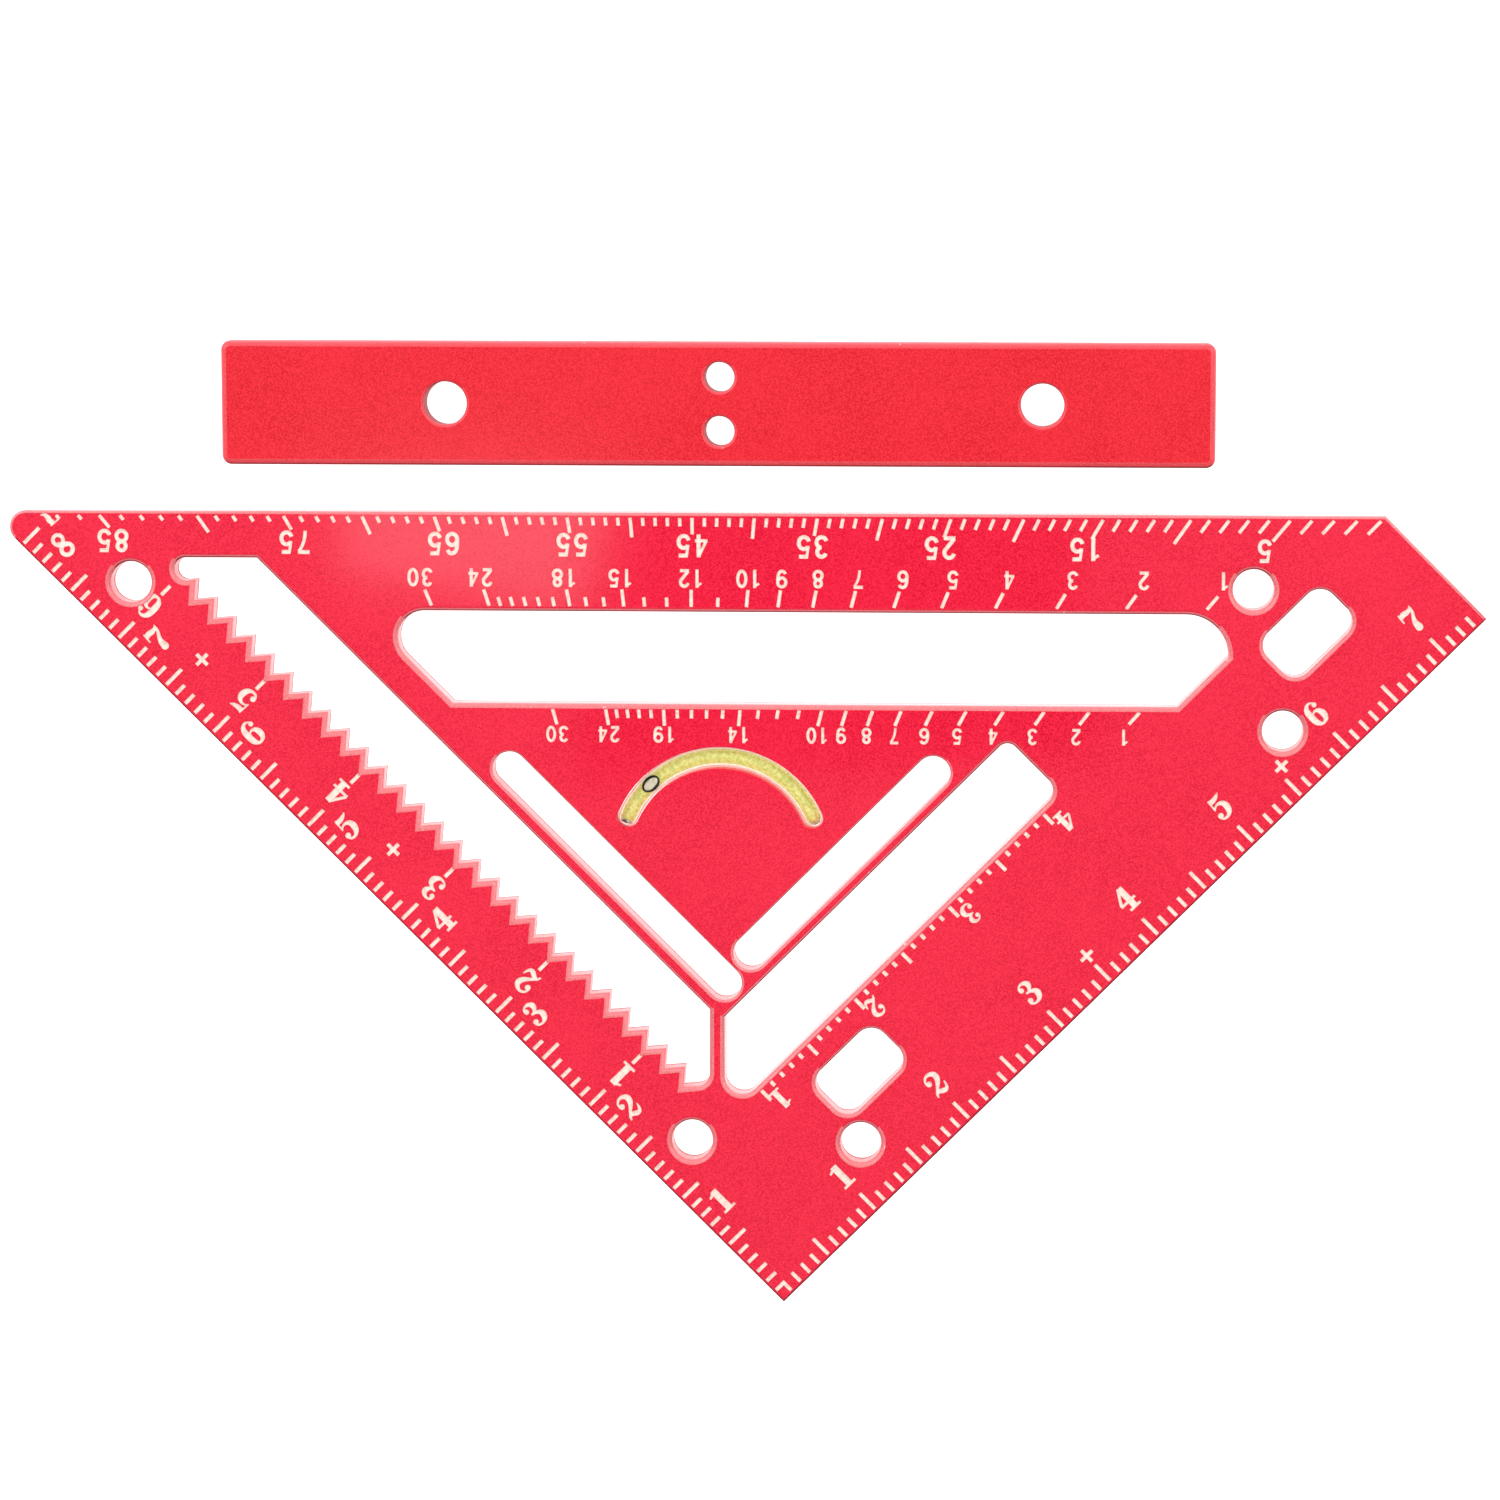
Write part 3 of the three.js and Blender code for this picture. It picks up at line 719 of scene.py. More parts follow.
def coated_plate(name, outer, openings, marks, radius, opening_radii, outer_rim, materials,
                 all_red=()):
    """A flat plate with rounded edges all round, and marks sunk into its top face.

    `all_red` holds the numbers of the loops whose edges are plain red, without the painted
    highlights and shade of the others, 0 being the outer one.
    """
    draft = MeshDraft()
    loops = [outer, *openings]
    signs = [-1, *(1 for _ in openings)]
    profiles = [side_profile(edge) for edge in (radius, *opening_radii)]

    def add_flat_face(z, face_marks, upwards):
        """Adds a face, and returns its corners, the next point round its edges, and its rings."""
        inset = [offset(loop, sign * profile[0][0])
                 for loop, sign, profile in zip(loops, signs, profiles)]
        points, plain, painted, rings = cut_face(inset[0], inset[1:], face_marks)
        level = {}
        floor = {}

        def corner(store, number, height):
            if number not in store:
                store[number] = draft.add_corner(to_frame(points[number], height))
            return store[number]

        for face in plain:
            indices = [corner(level, number, z) for number in face]
            draft.add_face(indices if upwards else indices[::-1], FACE)
        edges = set()
        for face in (*plain, *painted):
            edges.update(zip(face, (*face[1:], face[0])))
        boundary = {a: b for a, b in edges if (b, a) not in edges}
        painted_edges = set()
        for face in painted:
            draft.add_face([corner(floor, number, z - MARK_DEPTH) for number in face], PAINT)
            painted_edges.update(zip(face, (*face[1:], face[0])))
        # The side walls of each mark take the pale coat of the painted highlights.
        for a, b in painted_edges:
            if (b, a) not in painted_edges:
                draft.add_face([corner(level, a, z), corner(level, b, z),
                                floor[b], floor[a]], HIGHLIGHT)
        return level, boundary, rings

    top_level, top_next, top_rings = add_flat_face(THICKNESS, marks, True)
    low_level, low_next, low_rings = add_flat_face(0, [], False)

    for number, (loop, sign, profile) in enumerate(zip(loops, signs, profiles)):
        heights = ([(inset, THICKNESS - drop) for inset, drop in profile[1:]]
                   + [(0, profile[-1][1] + FOOT_HEIGHT)]
                   + [(inset, drop) for inset, drop in profile[:0:-1]])
        lines = [[draft.add_corner(to_frame(point, height))
                  for point in offset(loop, sign * inset)] for inset, height in heights]
        count = len(loop)
        away_rim = OPENING_RIM if sign > 0 else outer_rim

        def chain(level, following, ring, start, end):
            """The face's corners from one point of a loop to the next, with any between."""
            a, b = (ring[start], ring[end]) if sign < 0 else (ring[end], ring[start])
            walk = [a]
            while walk[-1] != b:
                walk.append(following[walk[-1]])
            indices = [level[step] for step in walk]
            return indices if sign < 0 else indices[::-1]

        for index in range(count):
            after = (index + 1) % count
            top = chain(top_level, top_next, top_rings[number], index, after)
            low = chain(low_level, low_next, low_rings[number], index, after)
            rows = [top, *([line[index], line[after]] for line in lines), low]
            slots = edge_slots(loop[index], loop[after], sign, away_rim, number in all_red)
            for upper, lower, slot in zip(rows, rows[1:], slots):
                face = [*lower[::-1], *upper] if sign > 0 else [*upper[::-1], *lower]
                draft.add_face(face, slot, True)
    return draft.build(name, materials)


# ---- Materials --------------------------------------------------------------------------------


def new_material(name, **sockets):
    """A material with one Principled shader, whose constants are set on its own sockets."""
    material = bpy.data.materials.new(name)
    material.use_nodes = True
    shader = material.node_tree.nodes["Principled BSDF"]
    for socket, value in sockets.items():
        shader.inputs[socket.replace("_", " ")].default_value = value
    return material, material.node_tree, shader


def noise(tree, feature_mm, detail=2.0, roughness=0.5):
    """Noise whose blobs are about a given size across, fixed to the object."""
    place = tree.nodes.new("ShaderNodeTexCoord")
    texture = tree.nodes.new("ShaderNodeTexNoise")
    texture.inputs["Scale"].default_value = 1 / (feature_mm * MM)
    texture.inputs["Detail"].default_value = detail
    texture.inputs["Roughness"].default_value = roughness
    tree.links.new(place.outputs["Object"], texture.inputs["Vector"])
    return texture.outputs["Fac"]


def ramp(tree, factor, *stops):
    node = tree.nodes.new("ShaderNodeValToRGB")
    elements = node.color_ramp.elements
    while len(elements) < len(stops):
        elements.new(0.5)
    for element, (position, color) in zip(elements, stops):
        element.position = position
        element.color = (*color, 1)
    tree.links.new(factor, node.inputs["Fac"])
    return node.outputs["Color"]


def mix(tree, factor, first, second):
    """Blends a linked colour towards a second one, which may be linked or constant."""
    node = tree.nodes.new("ShaderNodeMix")
    node.data_type = "RGBA"
    tree.links.new(factor, node.inputs["Factor"])
    tree.links.new(first, node.inputs["A"])
    if isinstance(second, tuple):
        node.inputs["B"].default_value = (*second, 1)
    else:
        tree.links.new(second, node.inputs["B"])
    return node.outputs["Result"]


def bump(tree, shader, height, distance_mm, strength=1.0):
    node = tree.nodes.new("ShaderNodeBump")
    node.inputs["Distance"].default_value = distance_mm * MM
    node.inputs["Strength"].default_value = strength
    tree.links.new(height, node.inputs["Height"])
    tree.links.new(node.outputs["Normal"], shader.inputs["Normal"])


CHIP_COLOR = (0.82, 0.62, 0.58)


def coat_material(name, color, shade, wear=0.0, **sockets):
    """Powder coat: fine grains of slightly different reds over a faintly pebbled surface.

    `shade` is how dark its deepest grains are, and `wear` is how many pale spots it has.
    """
    material, tree, shader = new_material(name, **sockets)
    grain = noise(tree, 0.27, detail=2, roughness=0.6)
    drift = noise(tree, 14, detail=2)
    deep = tuple(max(0, channel * shade - 0.008) for channel in color)
    pale = tuple(min(1, channel * 1.05 + 0.014) for channel in color)
    grains = ramp(tree, grain, (0.39, deep), (0.61, pale))
    patches = ramp(tree, drift, (0.35, (0, 0, 0)), (0.75, (0.35, 0.35, 0.35)))
    base = mix(tree, patches, grains, pale)
    if wear:
        chips = ramp(tree, noise(tree, 1.3, detail=4, roughness=0.7),
                     (1 - wear, (0, 0, 0)), (1.03 - wear, (1, 1, 1)))
        base = mix(tree, chips, base, CHIP_COLOR)
    tree.links.new(base, shader.inputs["Base Color"])
    bump(tree, shader, grain, 0.03, 0.5)
    return material


def paint_material():
    """Cream paint that has settled unevenly in the engraved marks."""
    material, tree, shader = new_material("mark_paint", Roughness=0.7, Specular_IOR_Level=0.2)
    blotch = noise(tree, 0.9, detail=3)
    base = ramp(tree, blotch, (0.3, (0.78, 0.58, 0.50)), (0.6, (1.0, 0.82, 0.72)))
    tree.links.new(base, shader.inputs["Base Color"])
    bump(tree, shader, blotch, 0.02, 0.4)
    return material


SQUARE_RED = (0.845, 0.006, 0.043)
BAR_RED = (0.80, 0.006, 0.024)
# Painted highlight: the pale pink of the square's rounded edges where they face the light.
HIGHLIGHT_PINK = (0.82, 0.19, 0.205)
# Painted highlight: the paler red of the fence bar's rounded edges.
BAR_HIGHLIGHT_PINK = (0.82, 0.060, 0.078)
# Painted light: the square's walls, pale pink as if lit by the light beyond the hypotenuse and by
# the glowing table.
LIT_WALL_PINK = (0.80, 0.24, 0.25)
# Painted light and painted shadow: the foot of a pale lit wall, darker where it meets the table.
SHADOWED_FOOT_PINK = (0.60, 0.22, 0.23)
# Painted shade: the dark red of rims that face away from the light.
SHADED_RIM_RED = (0.30, 0.018, 0.028)
# Painted shade: outer walls that face away from the light, redder and less lit than the pale
# walls.
SHADED_SIDE_RED = (0.74, 0.055, 0.070)
# Painted shade: the fence bar's walls, darker than its face.
SHADED_BAR_WALL_RED = (0.44, 0.025, 0.036)
# Painted shadow: the foot of the fence bar's walls, darker still where they meet the table.
SHADOWED_BAR_FOOT_RED = (0.38, 0.025, 0.036)

face_coat = coat_material("square_face_coat", SQUARE_RED, 0.77, Roughness=0.45,
                          Specular_IOR_Level=0.05, Coat_Weight=0.72, Coat_Roughness=0.09)
# Painted highlight for rounded edges; its pale spots are real wear.
highlight_coat = coat_material("square_highlight_coat", HIGHLIGHT_PINK, 0.80, wear=0.33, Roughness=0.26,
                          Specular_IOR_Level=0.5)
# Painted shade for rims that face away from the light; its pale spots are real wear.
shade_coat = coat_material("square_shade_coat", SHADED_RIM_RED, 0.75, wear=0.26, Roughness=0.6,
                           Specular_IOR_Level=0.15)
# Painted light: walls made pale pink as if lit; its pale spots are real wear.
lit_wall_coat = coat_material("square_lit_wall_coat", LIT_WALL_PINK, 0.88, wear=0.3, Roughness=0.2,
                          Specular_IOR_Level=0.6)
# Painted shadow at the foot of the walls; its pale spots are real wear.
shadowed_foot_coat = coat_material("square_shadowed_foot_coat", SHADOWED_FOOT_PINK, 0.85, wear=0.3, Roughness=0.6,
                          Specular_IOR_Level=0.15)
# Shaded copy of the wall coat for outer walls facing away from the light; its pale spots are real
# wear.
shaded_side_coat = coat_material("square_shaded_side_coat", SHADED_SIDE_RED, 0.85, wear=0.28, Roughness=0.35,
                          Specular_IOR_Level=0.35)
bar_face_coat = coat_material("fence_face_coat", BAR_RED, 0.77, Roughness=0.45,
                              Specular_IOR_Level=0.1, Coat_Weight=0.6, Coat_Roughness=0.15)
# Painted highlight for the fence bar's rounded edges; its pale spots are real wear.
bar_highlight_coat = coat_material("fence_highlight_coat", BAR_HIGHLIGHT_PINK, 0.84, wear=0.3,
                              Roughness=0.3, Specular_IOR_Level=0.4)
bar_shade_coat = coat_material("fence_shade_coat", SHADED_RIM_RED, 0.8, wear=0.26, Roughness=0.6,
                               Specular_IOR_Level=0.15)
# Painted shade for the fence bar's walls; its pale spots are real wear.
shaded_bar_wall_coat = coat_material("fence_shaded_wall_coat", SHADED_BAR_WALL_RED, 0.85, wear=0.28,
                              Roughness=0.45, Specular_IOR_Level=0.2)
# Painted shadow at the foot of the fence bar's walls; its pale spots are real wear.
bar_shadowed_foot_coat = coat_material("fence_shadowed_foot_coat", SHADOWED_BAR_FOOT_RED, 0.85, wear=0.28,
                              Roughness=0.6, Specular_IOR_Level=0.15)
paint = paint_material()

# ---- The square and the fence bar -------------------------------------------------------------

opening_groups = [
    ([long_slot(), toothed_slot(), *plate_bolt_holes()], EDGE_RADIUS),
    ([ruler_slot()], RULER_SLOT_EDGE_RADIUS),
    (windows(), WINDOW_EDGE_RADIUS),
    (thin_slots(), THIN_SLOT_EDGE_RADIUS),
]
openings = [offset(opening, -COAT_THICKNESS) for group, _ in opening_groups for opening in group]
openings.append(vial_slot())
opening_radii = [radius for group, radius in opening_groups for _ in group]
opening_radii.append(VIAL_SLOT_EDGE_RADIUS)
marks = [
    *leg_scale_marks(),
    *notch_scale_marks(),
    *ruler_slot_marks(),
    *plus_marks(),
    *degree_scale_marks(),
    *rise_scale_marks(),
]
vial_slot_number = len(openings)  # the outer loop is number 0, and the vial's slot is the last
square = coated_plate(
    "engraved_square", offset(plate_outline(), COAT_THICKNESS), openings, marks,
    OUTER_EDGE_RADIUS, opening_radii, LEG_RIM,
    [face_coat, highlight_coat, shade_coat, lit_wall_coat, shadowed_foot_coat, shaded_side_coat, paint],
    all_red=[vial_slot_number])
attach(square, "square")
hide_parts("square_plate")


def bar_outline():
    left, low = bar_low.x / MM - APEX_X, bar_low.y / MM - APEX_Y
    right, high = bar_high.x / MM - APEX_X, bar_high.y / MM - APEX_Y
    return rounded([(Vector(place), BAR_CORNER_RADIUS)
                    for place in ((left, low), (right, low), (right, high), (left, high))])


def bar_holes():
    middle = (bar_low.y + bar_high.y) / 2 / MM - APEX_Y
    bolt_x = bar_high.x / MM - APEX_X - BAR_BOLT_FROM_RIGHT
    pair_x = bar_low.x / MM - APEX_X + BAR_PAIR_FROM_LEFT
    return [
        circle(Vector((bolt_x, middle)), BOLT_RADIUS),
        circle(Vector((bolt_x - BAR_BOLT_SPACING, middle)), BOLT_RADIUS),
        circle(Vector((pair_x, middle - BAR_PAIR_SPACING / 2)), BAR_PAIR_RADIUS),
        circle(Vector((pair_x, middle + BAR_PAIR_SPACING / 2)), BAR_PAIR_RADIUS),
    ]


holes = bar_holes()
no_marks = []
fence = coated_plate(
    "coated_fence_bar", offset(bar_outline(), COAT_THICKNESS), holes, no_marks,
    BAR_EDGE_RADIUS, [BAR_HOLE_EDGE_RADIUS] * len(holes), DARK_RIM,
    [bar_face_coat, bar_highlight_coat, bar_shade_coat, shaded_bar_wall_coat, bar_shadowed_foot_coat, shaded_bar_wall_coat])
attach(fence, "fence")
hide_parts("fence_bar")

# ---- The vial ---------------------------------------------------------------------------------
#
# Its parts are sections swept round the vial's arc and rounded off to a point at both ends. A
# section is a list of (outward, upward) points about a middle on the arc.

VIAL_Z = THICKNESS / 2
VIAL_TIP_ANGLE = VIAL_HALF_SWEEP + VIAL_RADIUS / VIAL_ARC_RADIUS
SECTION_STEPS = 24
ARC_STEPS = 60
CAP_STEPS = 7
LEAST_CAP_SIZE = 0.05  # keeps the tips of a swept shape from closing on one point

# The pale strips along both sides of the tube are painted highlights.
TUBE_RIM_OUT = 1.6
TUBE_RIM_HALF_WIDTH = 0.26
TUBE_RIM_HALF_HEIGHT = 0.6
TUBE_RIM_CAP = 1.8
TUBE_RIM_INSET = math.radians(0.2)
BED_HALF_WIDTH = 1.5
BED_HALF_HEIGHT = 0.1
BED_CAP = 1.6

FLUID_HALF_WIDTH = 1.25
FLUID_UP = 0.85
FLUID_DOWN = 1.15
FLUID_CAP = 1.2
FLUID_SHORT_OF_TIP = math.radians(2.0)

SEAL_RADII = (1.15, 0.95, 0.95)
SEAL_FROM_TIP = math.radians(3.2)
SEAL_TO_TIP = math.radians(0.9)
SEAL_CAP = 0.35
SPECK_RISE = 0.95
# How far out from the arc, how many degrees back from the tip, and how big each speck is.
SPECKS = ((0.55, 2.0, 0.22), (-0.1, 1.6, 0.16), (0.15, 2.5, 0.13))

BUBBLE_ANGLE = math.radians(133.7)
BUBBLE_RISE = 0.95
BUBBLE_HALF_LENGTH = 1.72
BUBBLE_HALF_WIDTH = 1.08
BUBBLE_DOME = 0.3
BUBBLE_RING_STEPS = 48
BUBBLE_TUBE_STEPS = 10
BUBBLE_DOME_ROWS = 6


def round_pairs(count):
    """Each index with the next one, going round to the first."""
    return [(index, (index + 1) % count) for index in range(count)]


def oval(half_width, up, down, outward=0.0):
    section = []
    for step in range(SECTION_STEPS):
        angle = math.tau * step / SECTION_STEPS
        height = (up if math.sin(angle) > 0 else down) * math.sin(angle)
        section.append(Vector((outward + half_width * math.cos(angle), height)))
    return section


def swept(draft, section, start, end, cap_length, slot, lift=0.0):
    """Sweeps a section between two angles round the vial's arc, measured from +X."""
    cap = cap_length / VIAL_ARC_RADIUS
    turns = [math.pi / 2 * step / CAP_STEPS for step in range(CAP_STEPS + 1)]
    stations = [(start + cap * (1 - math.cos(turn)), math.sin(turn)) for turn in turns]
    for step in range(1, ARC_STEPS):
        stations.append((start + cap + (end - start - 2 * cap) * step / ARC_STEPS, 1))
    stations += [(end - cap * (1 - math.cos(turn)), math.sin(turn)) for turn in reversed(turns)]
    rings = []
    for angle, size in stations:
        size = max(size, LEAST_CAP_SIZE)
        corners = []
        for point in section:
            place = polar(VIAL_CENTRE, VIAL_ARC_RADIUS + point.x * size, angle)
            corners.append(draft.add_corner(to_frame(place, VIAL_Z + lift + point.y * size)))
        rings.append(corners)
    for near, far in zip(rings, rings[1:]):
        for index, after in round_pairs(SECTION_STEPS):
            draft.add_face([near[index], far[index], far[after], near[after]], slot, True)
    draft.add_face(rings[0], slot, True)
    draft.add_face(rings[-1][::-1], slot, True)


def place_piece(draft, name, materials, body, node):
    piece = draft.build(name, materials)
    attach(piece, body)
    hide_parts(node)


def vial_shell():
    """The clear tube, with a pale strip along both sides: a painted highlight where its wall is
    seen edge-on.
    """
    draft = MeshDraft()
    right, left = math.pi / 2 - VIAL_TIP_ANGLE, math.pi / 2 + VIAL_TIP_ANGLE
    inset = TUBE_RIM_INSET
    swept(draft, oval(VIAL_RADIUS, VIAL_RADIUS, VIAL_RADIUS), right, left, VIAL_RADIUS, 0)
    for side in (-1, 1):
        rim_section = oval(TUBE_RIM_HALF_WIDTH, TUBE_RIM_HALF_HEIGHT, TUBE_RIM_HALF_HEIGHT,
                           side * TUBE_RIM_OUT)
        swept(draft, rim_section, right + inset, left - inset, TUBE_RIM_CAP, 1)
    bed_section = oval(BED_HALF_WIDTH, BED_HALF_HEIGHT, BED_HALF_HEIGHT)
    swept(draft, bed_section, right + 3 * inset, left - 3 * inset, BED_CAP, 2)
    return draft


def vial_fluid():
    draft = MeshDraft()
    end = VIAL_TIP_ANGLE - FLUID_SHORT_OF_TIP
    section = oval(FLUID_HALF_WIDTH, FLUID_UP, FLUID_DOWN)
    swept(draft, section, math.pi / 2 - end, math.pi / 2 + end, FLUID_CAP, 0)
    return draft


def vial_seal():
    """The plug in the filling end, with a few dark specks where it was sealed."""
    draft = MeshDraft()
    tip = math.pi / 2 + VIAL_TIP_ANGLE
    swept(draft, oval(*SEAL_RADII), tip - SEAL_FROM_TIP, tip - SEAL_TO_TIP, SEAL_CAP, 0)
    for outward, back, size in SPECKS:
        middle = tip - math.radians(back)
        span = size / VIAL_ARC_RADIUS
        section = oval(size, size, size, outward)
        swept(draft, section, middle - span, middle + span, size, 1, SPECK_RISE)
    return draft


def vial_bubble():
    """A flat bubble whose steep edge is a near-black ring, thickest along its two sides: painted
    shade for the darkness the bubble's edge shows.
    """
    draft = MeshDraft()
    along, across, dome = BUBBLE_HALF_LENGTH, BUBBLE_HALF_WIDTH, BUBBLE_DOME
    middle = polar(VIAL_CENTRE, VIAL_ARC_RADIUS, BUBBLE_ANGLE)
    outward = polar(Vector((0, 0)), 1, BUBBLE_ANGLE)
    forward = Vector((-outward.y, outward.x))
    z = VIAL_Z + BUBBLE_RISE

    def around(turn, scale, height):
        """A corner on an oval about the middle, `scale` times the size of the bubble's."""
        arm = forward * (along * math.cos(turn)) + outward * (across * math.sin(turn))
        return draft.add_corner(to_frame(middle + arm * scale, z + height))

    turns = [math.tau * step / BUBBLE_RING_STEPS for step in range(BUBBLE_RING_STEPS)]
    rows = []
    for turn in turns:
        radius = 0.21 + 0.1 * abs(math.sin(turn)) + 0.02 * math.sin(3 * turn + 1)
        row = []
        for step in range(BUBBLE_TUBE_STEPS):
            tube_turn = math.tau * step / BUBBLE_TUBE_STEPS
            scale = 1 + radius * math.cos(tube_turn) / math.hypot(
                along * math.cos(turn), across * math.sin(turn))
            row.append(around(turn, scale, radius * math.sin(tube_turn)))
        rows.append(row)
    for near, far in zip(rows, (*rows[1:], rows[0])):
        for step, after in round_pairs(BUBBLE_TUBE_STEPS):
            draft.add_face([near[step], far[step], far[after], near[after]], 1, True)
    for side in (1, -1):
        levels = []
        for row in range(BUBBLE_DOME_ROWS):
            tilt = math.pi / 2 * row / BUBBLE_DOME_ROWS
            levels.append([around(turn, math.cos(tilt), side * dome * math.sin(tilt))
                           for turn in turns])
        peak = draft.add_corner(to_frame(middle, z + side * dome))
        for lower, upper in zip(levels, levels[1:]):
            for step, after in round_pairs(BUBBLE_RING_STEPS):
                face = [lower[step], lower[after], upper[after], upper[step]]
                draft.add_face(face[::-side], 0, True)
        for step, after in round_pairs(BUBBLE_RING_STEPS):
            draft.add_face([levels[-1][step], levels[-1][after], peak][::-side], 0, True)
    return draft


def mottled_material(name, feature_mm, low, high, glow=0.0, **sockets):
    material, tree, shader = new_material(name, **sockets)
    speckle = noise(tree, feature_mm, detail=3)
    tint = ramp(tree, speckle, (0.3, low), (0.7, high))
    tree.links.new(tint, shader.inputs["Base Color"])
    # A glow makes the part give off light of its own, though it is no lamp: painted light.
    if glow:
        tree.links.new(tint, shader.inputs["Emission Color"])
        shader.inputs["Emission Strength"].default_value = glow
    bump(tree, shader, speckle, 0.01, 0.3)
    return material


clear = mottled_material("vial_acrylic", 1.5, (0.94, 0.96, 0.92), (1.0, 1.0, 1.0),
                         Roughness=0.03, IOR=1.03, Transmission_Weight=1.0)
# Painted highlight: the pale strips along the tube's sides, which also glow (painted light).
rim = mottled_material("vial_rim_highlight", 0.5, (0.90, 0.66, 0.56), (1.0, 0.86, 0.76), 0.4, Roughness=0.3)
# A greyish strip beside the liquid's edges, which glows a little: painted light.
bed = mottled_material("vial_bed", 0.5, (0.42, 0.44, 0.30), (0.60, 0.62, 0.46), 0.2, Roughness=0.4)
# The liquid's yellow-green is its own; its glow is painted light.
fluid = mottled_material("vial_liquid", 0.6, (0.48, 0.60, 0.12), (0.78, 0.82, 0.30), 0.32,
                         Roughness=0.08)
# The sealant's glow is painted light; its dark specks are its own.
sealant = mottled_material("vial_sealant", 0.35, (0.30, 0.31, 0.27), (0.78, 0.76, 0.66), 0.15,
                           Roughness=0.5)
speck = mottled_material("vial_speck", 0.3, (0.02, 0.02, 0.02), (0.08, 0.08, 0.09), Roughness=0.5)
# The bubble's pale inside glows a little: painted light.
air = mottled_material("vial_air", 0.6, (0.50, 0.53, 0.36), (0.74, 0.73, 0.58), 0.25,
                       Roughness=0.05)
# Painted shade: the near-black ring at the bubble's edge.
bubble_edge_shade = mottled_material("vial_bubble_edge_shade", 0.5, (0.004, 0.005, 0.004),
                               (0.02, 0.024, 0.018), Roughness=0.35)

place_piece(vial_shell(), "clear_vial", [clear, rim, bed], "square", "vial_tube")
place_piece(vial_fluid(), "vial_fluid", [fluid], "square", "vial_liquid")
place_piece(vial_seal(), "sealed_end", [sealant, speck], "square", "vial_end_plug")
place_piece(vial_bubble(), "air_bubble", [air, bubble_edge_shade], "bubble", "vial_bubble")

# ---- Floor, light and camera ------------------------------------------------------------------


FLOOR_DROP = 0.0002  # keeps the floor clear of the undersides


def make_floor():
    """A table that gives off its own white light."""
    mesh = bpy.data.meshes.new("floor")
    half = 3.0
    mesh.from_pydata([(-half, -half, 0), (half, -half, 0), (half, half, 0), (-half, half, 0)],
                     [], [(0, 1, 2, 3)])
    material, _, shader = new_material("floor_acrylic", Roughness=0.6, Specular_IOR_Level=0.1)
    shader.inputs["Base Color"].default_value = (0.85, 0.85, 0.85, 1)
    shader.inputs["Emission Color"].default_value = (1, 1, 1, 1)
    shader.inputs["Emission Strength"].default_value = 1.0
    mesh.materials.append(material)
    floor = bpy.data.objects.new("floor", mesh)
    floor.location.z = -FLOOR_DROP
    bpy.context.scene.collection.objects.link(floor)


CARD_HEIGHT = 0.5
DARK_CARD = ((-0.085, -0.052), (0.072, -0.040), (0.060, 0.034), (-0.068, 0.030))
PALE_CARD = ((-0.150, 0.012), (-0.080, 0.000), (-0.070, 0.036), (-0.150, 0.040))


def make_card(name, corners, color, glow):
    """A card over the table that is seen only as a soft reflection in the coat."""
    mesh = bpy.data.meshes.new(name)
    mesh.from_pydata([(x, y, 0) for x, y in corners], [], [(0, 1, 2, 3)])
    material, _, shader = new_material(name + "_cloth", Base_Color=(*color, 1), Roughness=1.0)
    shader.inputs["Emission Color"].default_value = (1, 1, 1, 1)
    shader.inputs["Emission Strength"].default_value = glow
    mesh.materials.append(material)
    card = bpy.data.objects.new(name, mesh)
    card.location.z = CARD_HEIGHT
    card.visible_camera = False
    card.visible_diffuse = False
    card.visible_transmission = False
    card.visible_shadow = False
    bpy.context.scene.collection.objects.link(card)


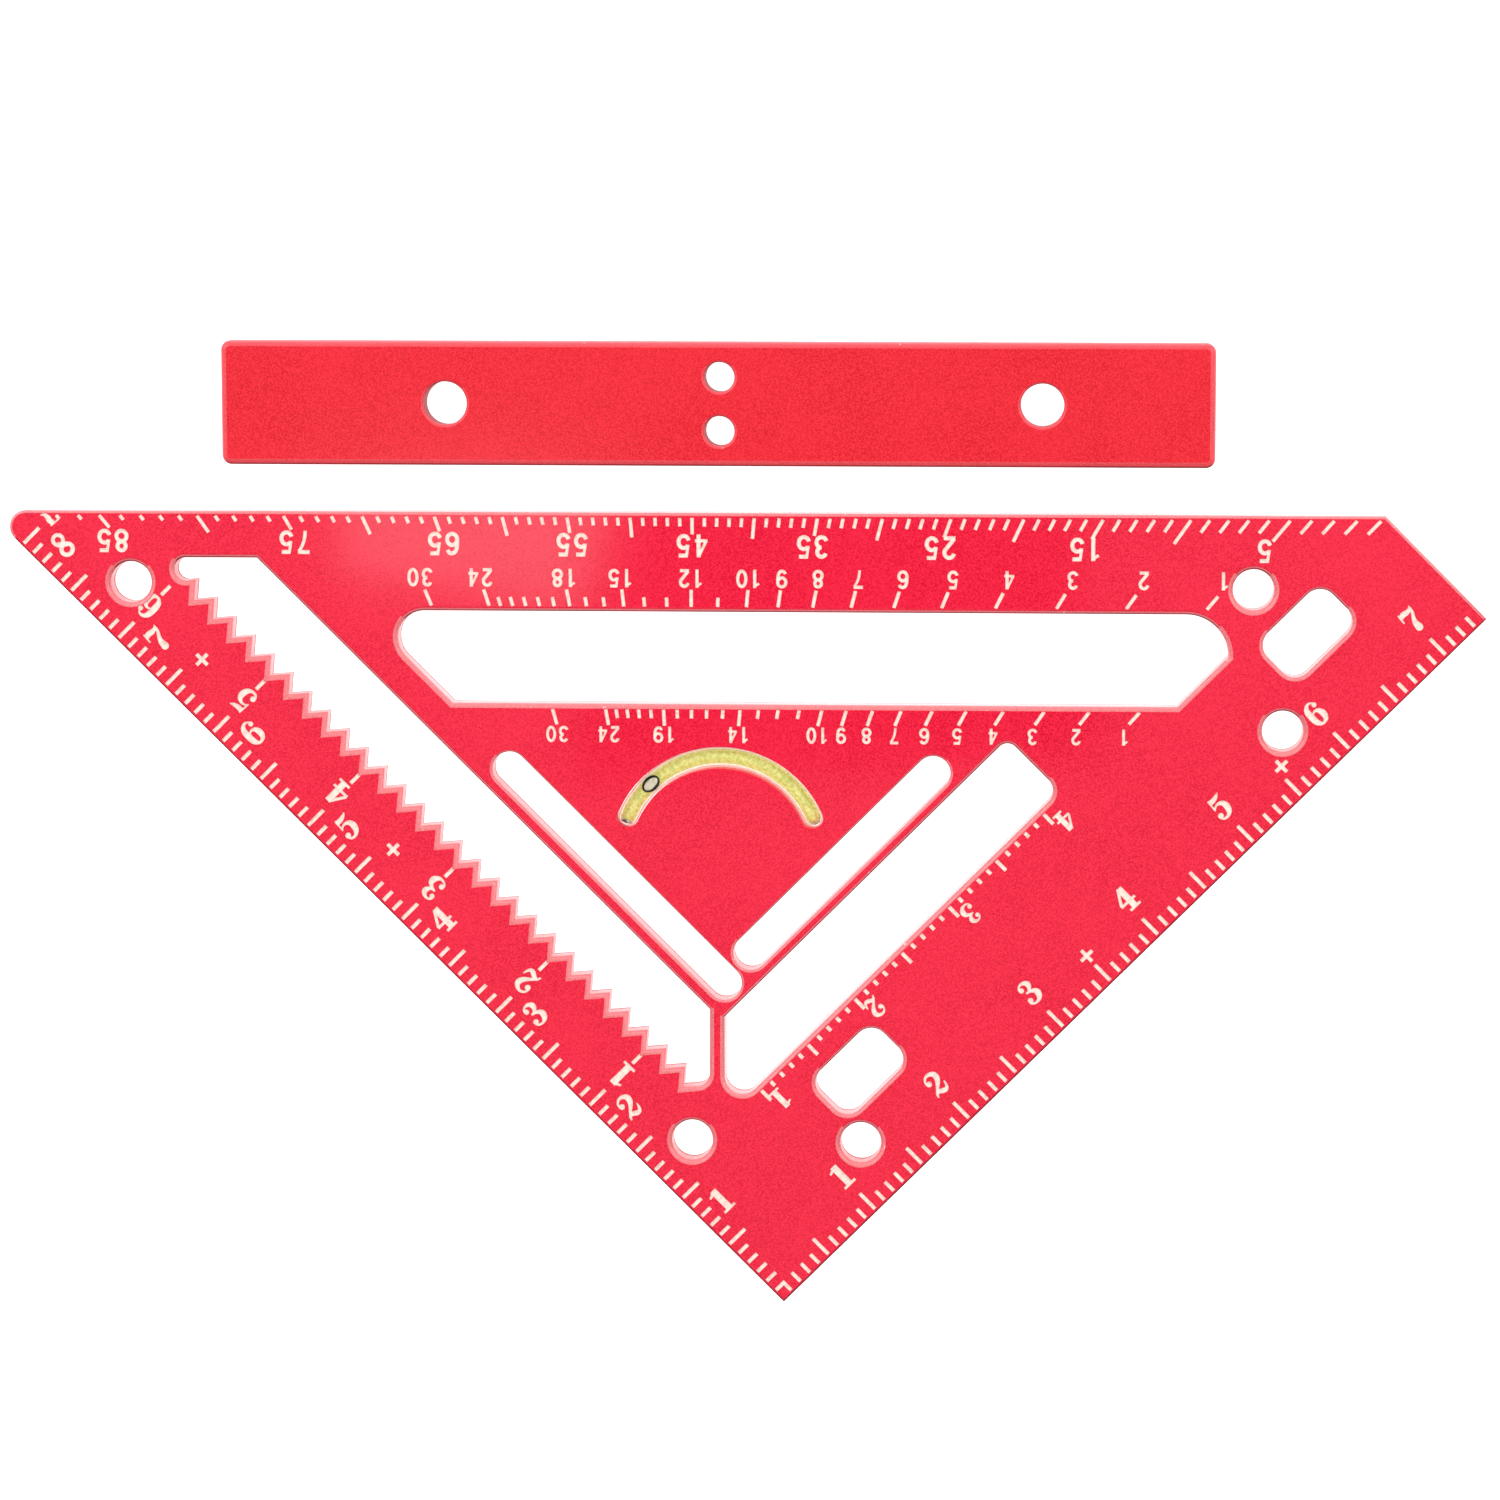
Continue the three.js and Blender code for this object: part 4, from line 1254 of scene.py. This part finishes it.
def make_world(strength):
    world = bpy.data.worlds.new("studio")
    world.use_nodes = True
    background = world.node_tree.nodes["Background"]
    background.inputs["Color"].default_value = (1, 1, 1, 1)
    background.inputs["Strength"].default_value = strength
    bpy.context.scene.world = world


def make_softbox(name, place, target, size, power, glossy=True):
    light = bpy.data.lights.new(name, "AREA")
    light.shape = "RECTANGLE"
    light.size, light.size_y = size
    light.energy = power
    softbox = bpy.data.objects.new(name, light)
    softbox.location = place
    softbox.rotation_euler = (Vector(target) - Vector(place)).to_track_quat("-Z", "Y").to_euler()
    softbox.visible_camera = False
    softbox.visible_glossy = glossy
    bpy.context.scene.collection.objects.link(softbox)


CAMERA_PLACE = Vector((0.06246, 0.12028, 0.95 + THICKNESS * MM))
CAMERA_AIM = Vector((0.02521, 0.00335, THICKNESS * MM))
CAMERA_ROLL = 0.0022
FOCAL_LENGTH = 120.54
CAMERA_SHIFT = (-0.0849, 0.0406)  # the tool isn't in the middle of the lens's field


def make_camera():
    data = bpy.data.cameras.new("camera")
    data.lens = FOCAL_LENGTH
    data.clip_start = 0.01
    data.shift_x, data.shift_y = CAMERA_SHIFT
    camera = bpy.data.objects.new("camera", data)
    aim = (CAMERA_AIM - CAMERA_PLACE).normalized()
    up = (Vector((0, 1, 0)) - aim * aim.y).normalized()
    right = aim.cross(up)
    turn = Matrix((right, up, -aim)).transposed() @ Matrix.Rotation(CAMERA_ROLL, 3, "Z")
    camera.matrix_world = Matrix.Translation(CAMERA_PLACE) @ turn.to_4x4()
    bpy.context.scene.collection.objects.link(camera)
    bpy.context.scene.camera = camera


make_floor()
make_world(strength=0.62)
make_card("flag", DARK_CARD, (0.02, 0.02, 0.02), glow=0)
make_card("reflector", PALE_CARD, (1, 1, 1), glow=1.1)
make_softbox("left_softbox", (-1.3, 0.9, 1.5), (0, 0, 0), (1.2, 1.0), 17)
make_softbox("right_softbox", (1.4, 0.7, 1.5), (0, 0, 0), (1.2, 1.0), 13)
make_softbox("back_softbox", (0, 1.7, 0.55), (0, 0, 0), (2.4, 0.8), 22, glossy=False)
make_camera()
bpy.context.scene.view_settings.view_transform = "Standard"
